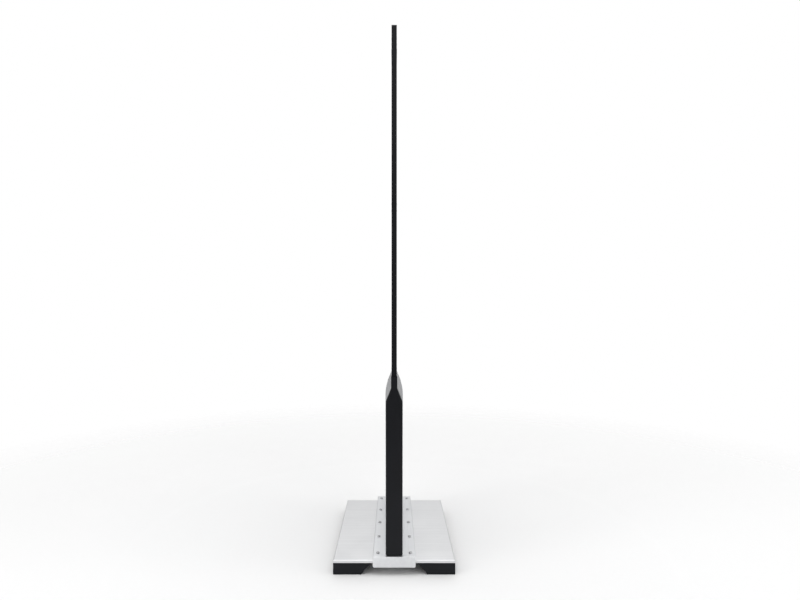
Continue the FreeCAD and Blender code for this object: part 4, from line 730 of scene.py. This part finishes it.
def make_floor():
    """Pale studio floor that fades out with distance into the white surround."""
    bpy.ops.mesh.primitive_circle_add(vertices=96, radius=FLOOR_RADIUS, fill_type="NGON",
                                      location=(0, 0, 0))
    floor = bpy.context.object
    floor.name = "studio_floor"
    look = Look("pale_floor", (0.86, 0.86, 0.86), 0.6, specular=0.2)
    where = look.node("ShaderNodeTexCoord")
    length = look.node("ShaderNodeVectorMath", operation="LENGTH")
    look.link(where.outputs["Object"], length.inputs[0])
    fade = look.span(length.outputs["Value"], FADE_START, FADE_END, 0.0, 1.0)
    grit = look.noise(90, detail=4.0)
    look.paint(look.blend(grit, (0.90, 0.90, 0.90), (0.93, 0.93, 0.93)))
    clear = look.node("ShaderNodeBsdfTransparent")
    mix = look.node("ShaderNodeMixShader")
    output = next(node for node in look.tree.nodes if node.type == "OUTPUT_MATERIAL")
    look.link(fade, mix.inputs["Fac"])
    look.link(look.shader.outputs["BSDF"], mix.inputs[1])
    look.link(clear.outputs["BSDF"], mix.inputs[2])
    look.link(mix.outputs["Shader"], output.inputs["Surface"])
    floor.data.materials.append(look.material)


def make_world():
    """White surround whose reflections brighten from the level of the eye up to the ceiling."""
    world = bpy.data.worlds.new("studio")
    bpy.context.scene.world = world
    world.use_nodes = True
    tree = world.node_tree
    tree.nodes.clear()
    where = tree.nodes.new("ShaderNodeTexCoord")
    axes = tree.nodes.new("ShaderNodeSeparateXYZ")
    climb = tree.nodes.new("ShaderNodeMapRange")
    climb.interpolation_type = "SMOOTHSTEP"
    climb.inputs["From Min"].default_value = CLIMB_START
    climb.inputs["From Max"].default_value = CLIMB_END
    climb.inputs["To Min"].default_value = HORIZON_STRENGTH
    climb.inputs["To Max"].default_value = CEILING_STRENGTH
    around = tree.nodes.new("ShaderNodeBackground")
    seen = tree.nodes.new("ShaderNodeBackground")
    seen.inputs["Color"].default_value = (1, 1, 1, 1)
    seen.inputs["Strength"].default_value = 1.0
    path = tree.nodes.new("ShaderNodeLightPath")
    direct = tree.nodes.new("ShaderNodeMath")
    direct.operation = "MAXIMUM"
    mix = tree.nodes.new("ShaderNodeMixShader")
    output = tree.nodes.new("ShaderNodeOutputWorld")
    for source, target in (
        (where.outputs["Generated"], axes.inputs["Vector"]),
        (axes.outputs["Z"], climb.inputs["Value"]),
        (climb.outputs["Result"], around.inputs["Strength"]),
        (path.outputs["Is Camera Ray"], direct.inputs[0]),
        (path.outputs["Is Transmission Ray"], direct.inputs[1]),
        (direct.outputs["Value"], mix.inputs["Fac"]),
        (around.outputs["Background"], mix.inputs[1]),
        (seen.outputs["Background"], mix.inputs[2]),
        (mix.outputs["Shader"], output.inputs["Surface"]),
    ):
        tree.links.new(source, target)


def make_lights():
    """Soft rectangular lights, each turned to its target."""
    for name, place, target, size, power in SOFTBOXES:
        light = bpy.data.lights.new(name, "AREA")
        light.shape = "RECTANGLE"
        light.size, light.size_y = size
        light.energy = power
        lamp = bpy.data.objects.new(name, light)
        lamp.location = place
        lamp.rotation_mode = "QUATERNION"
        lamp.rotation_quaternion = (Vector(target) - Vector(place)).to_track_quat("-Z", "Y")
        bpy.context.scene.collection.objects.link(lamp)


def make_camera():
    """Level camera that looks along the gate, edge on."""
    camera = bpy.data.cameras.new("camera")
    camera.sensor_width = SENSOR_WIDTH
    camera.lens = FOCAL_LENGTH
    camera.shift_x = SHIFT_RIGHT
    camera.shift_y = SHIFT_UP
    holder = bpy.data.objects.new("camera", camera)
    holder.location = (0, -CAMERA_DISTANCE, CAMERA_HEIGHT)
    holder.rotation_euler = (math.pi / 2, 0, 0)
    bpy.context.scene.collection.objects.link(holder)
    bpy.context.scene.camera = holder


finish_nodes()
make_glazing_beads()
make_lens_bezels()
make_joint_screws()
make_board_parts()
make_supply_parts()
make_terminal_screws()
make_sounder_rings()
make_floor()
make_world()
make_lights()
make_camera()
bpy.context.scene.view_settings.view_transform = "Standard"
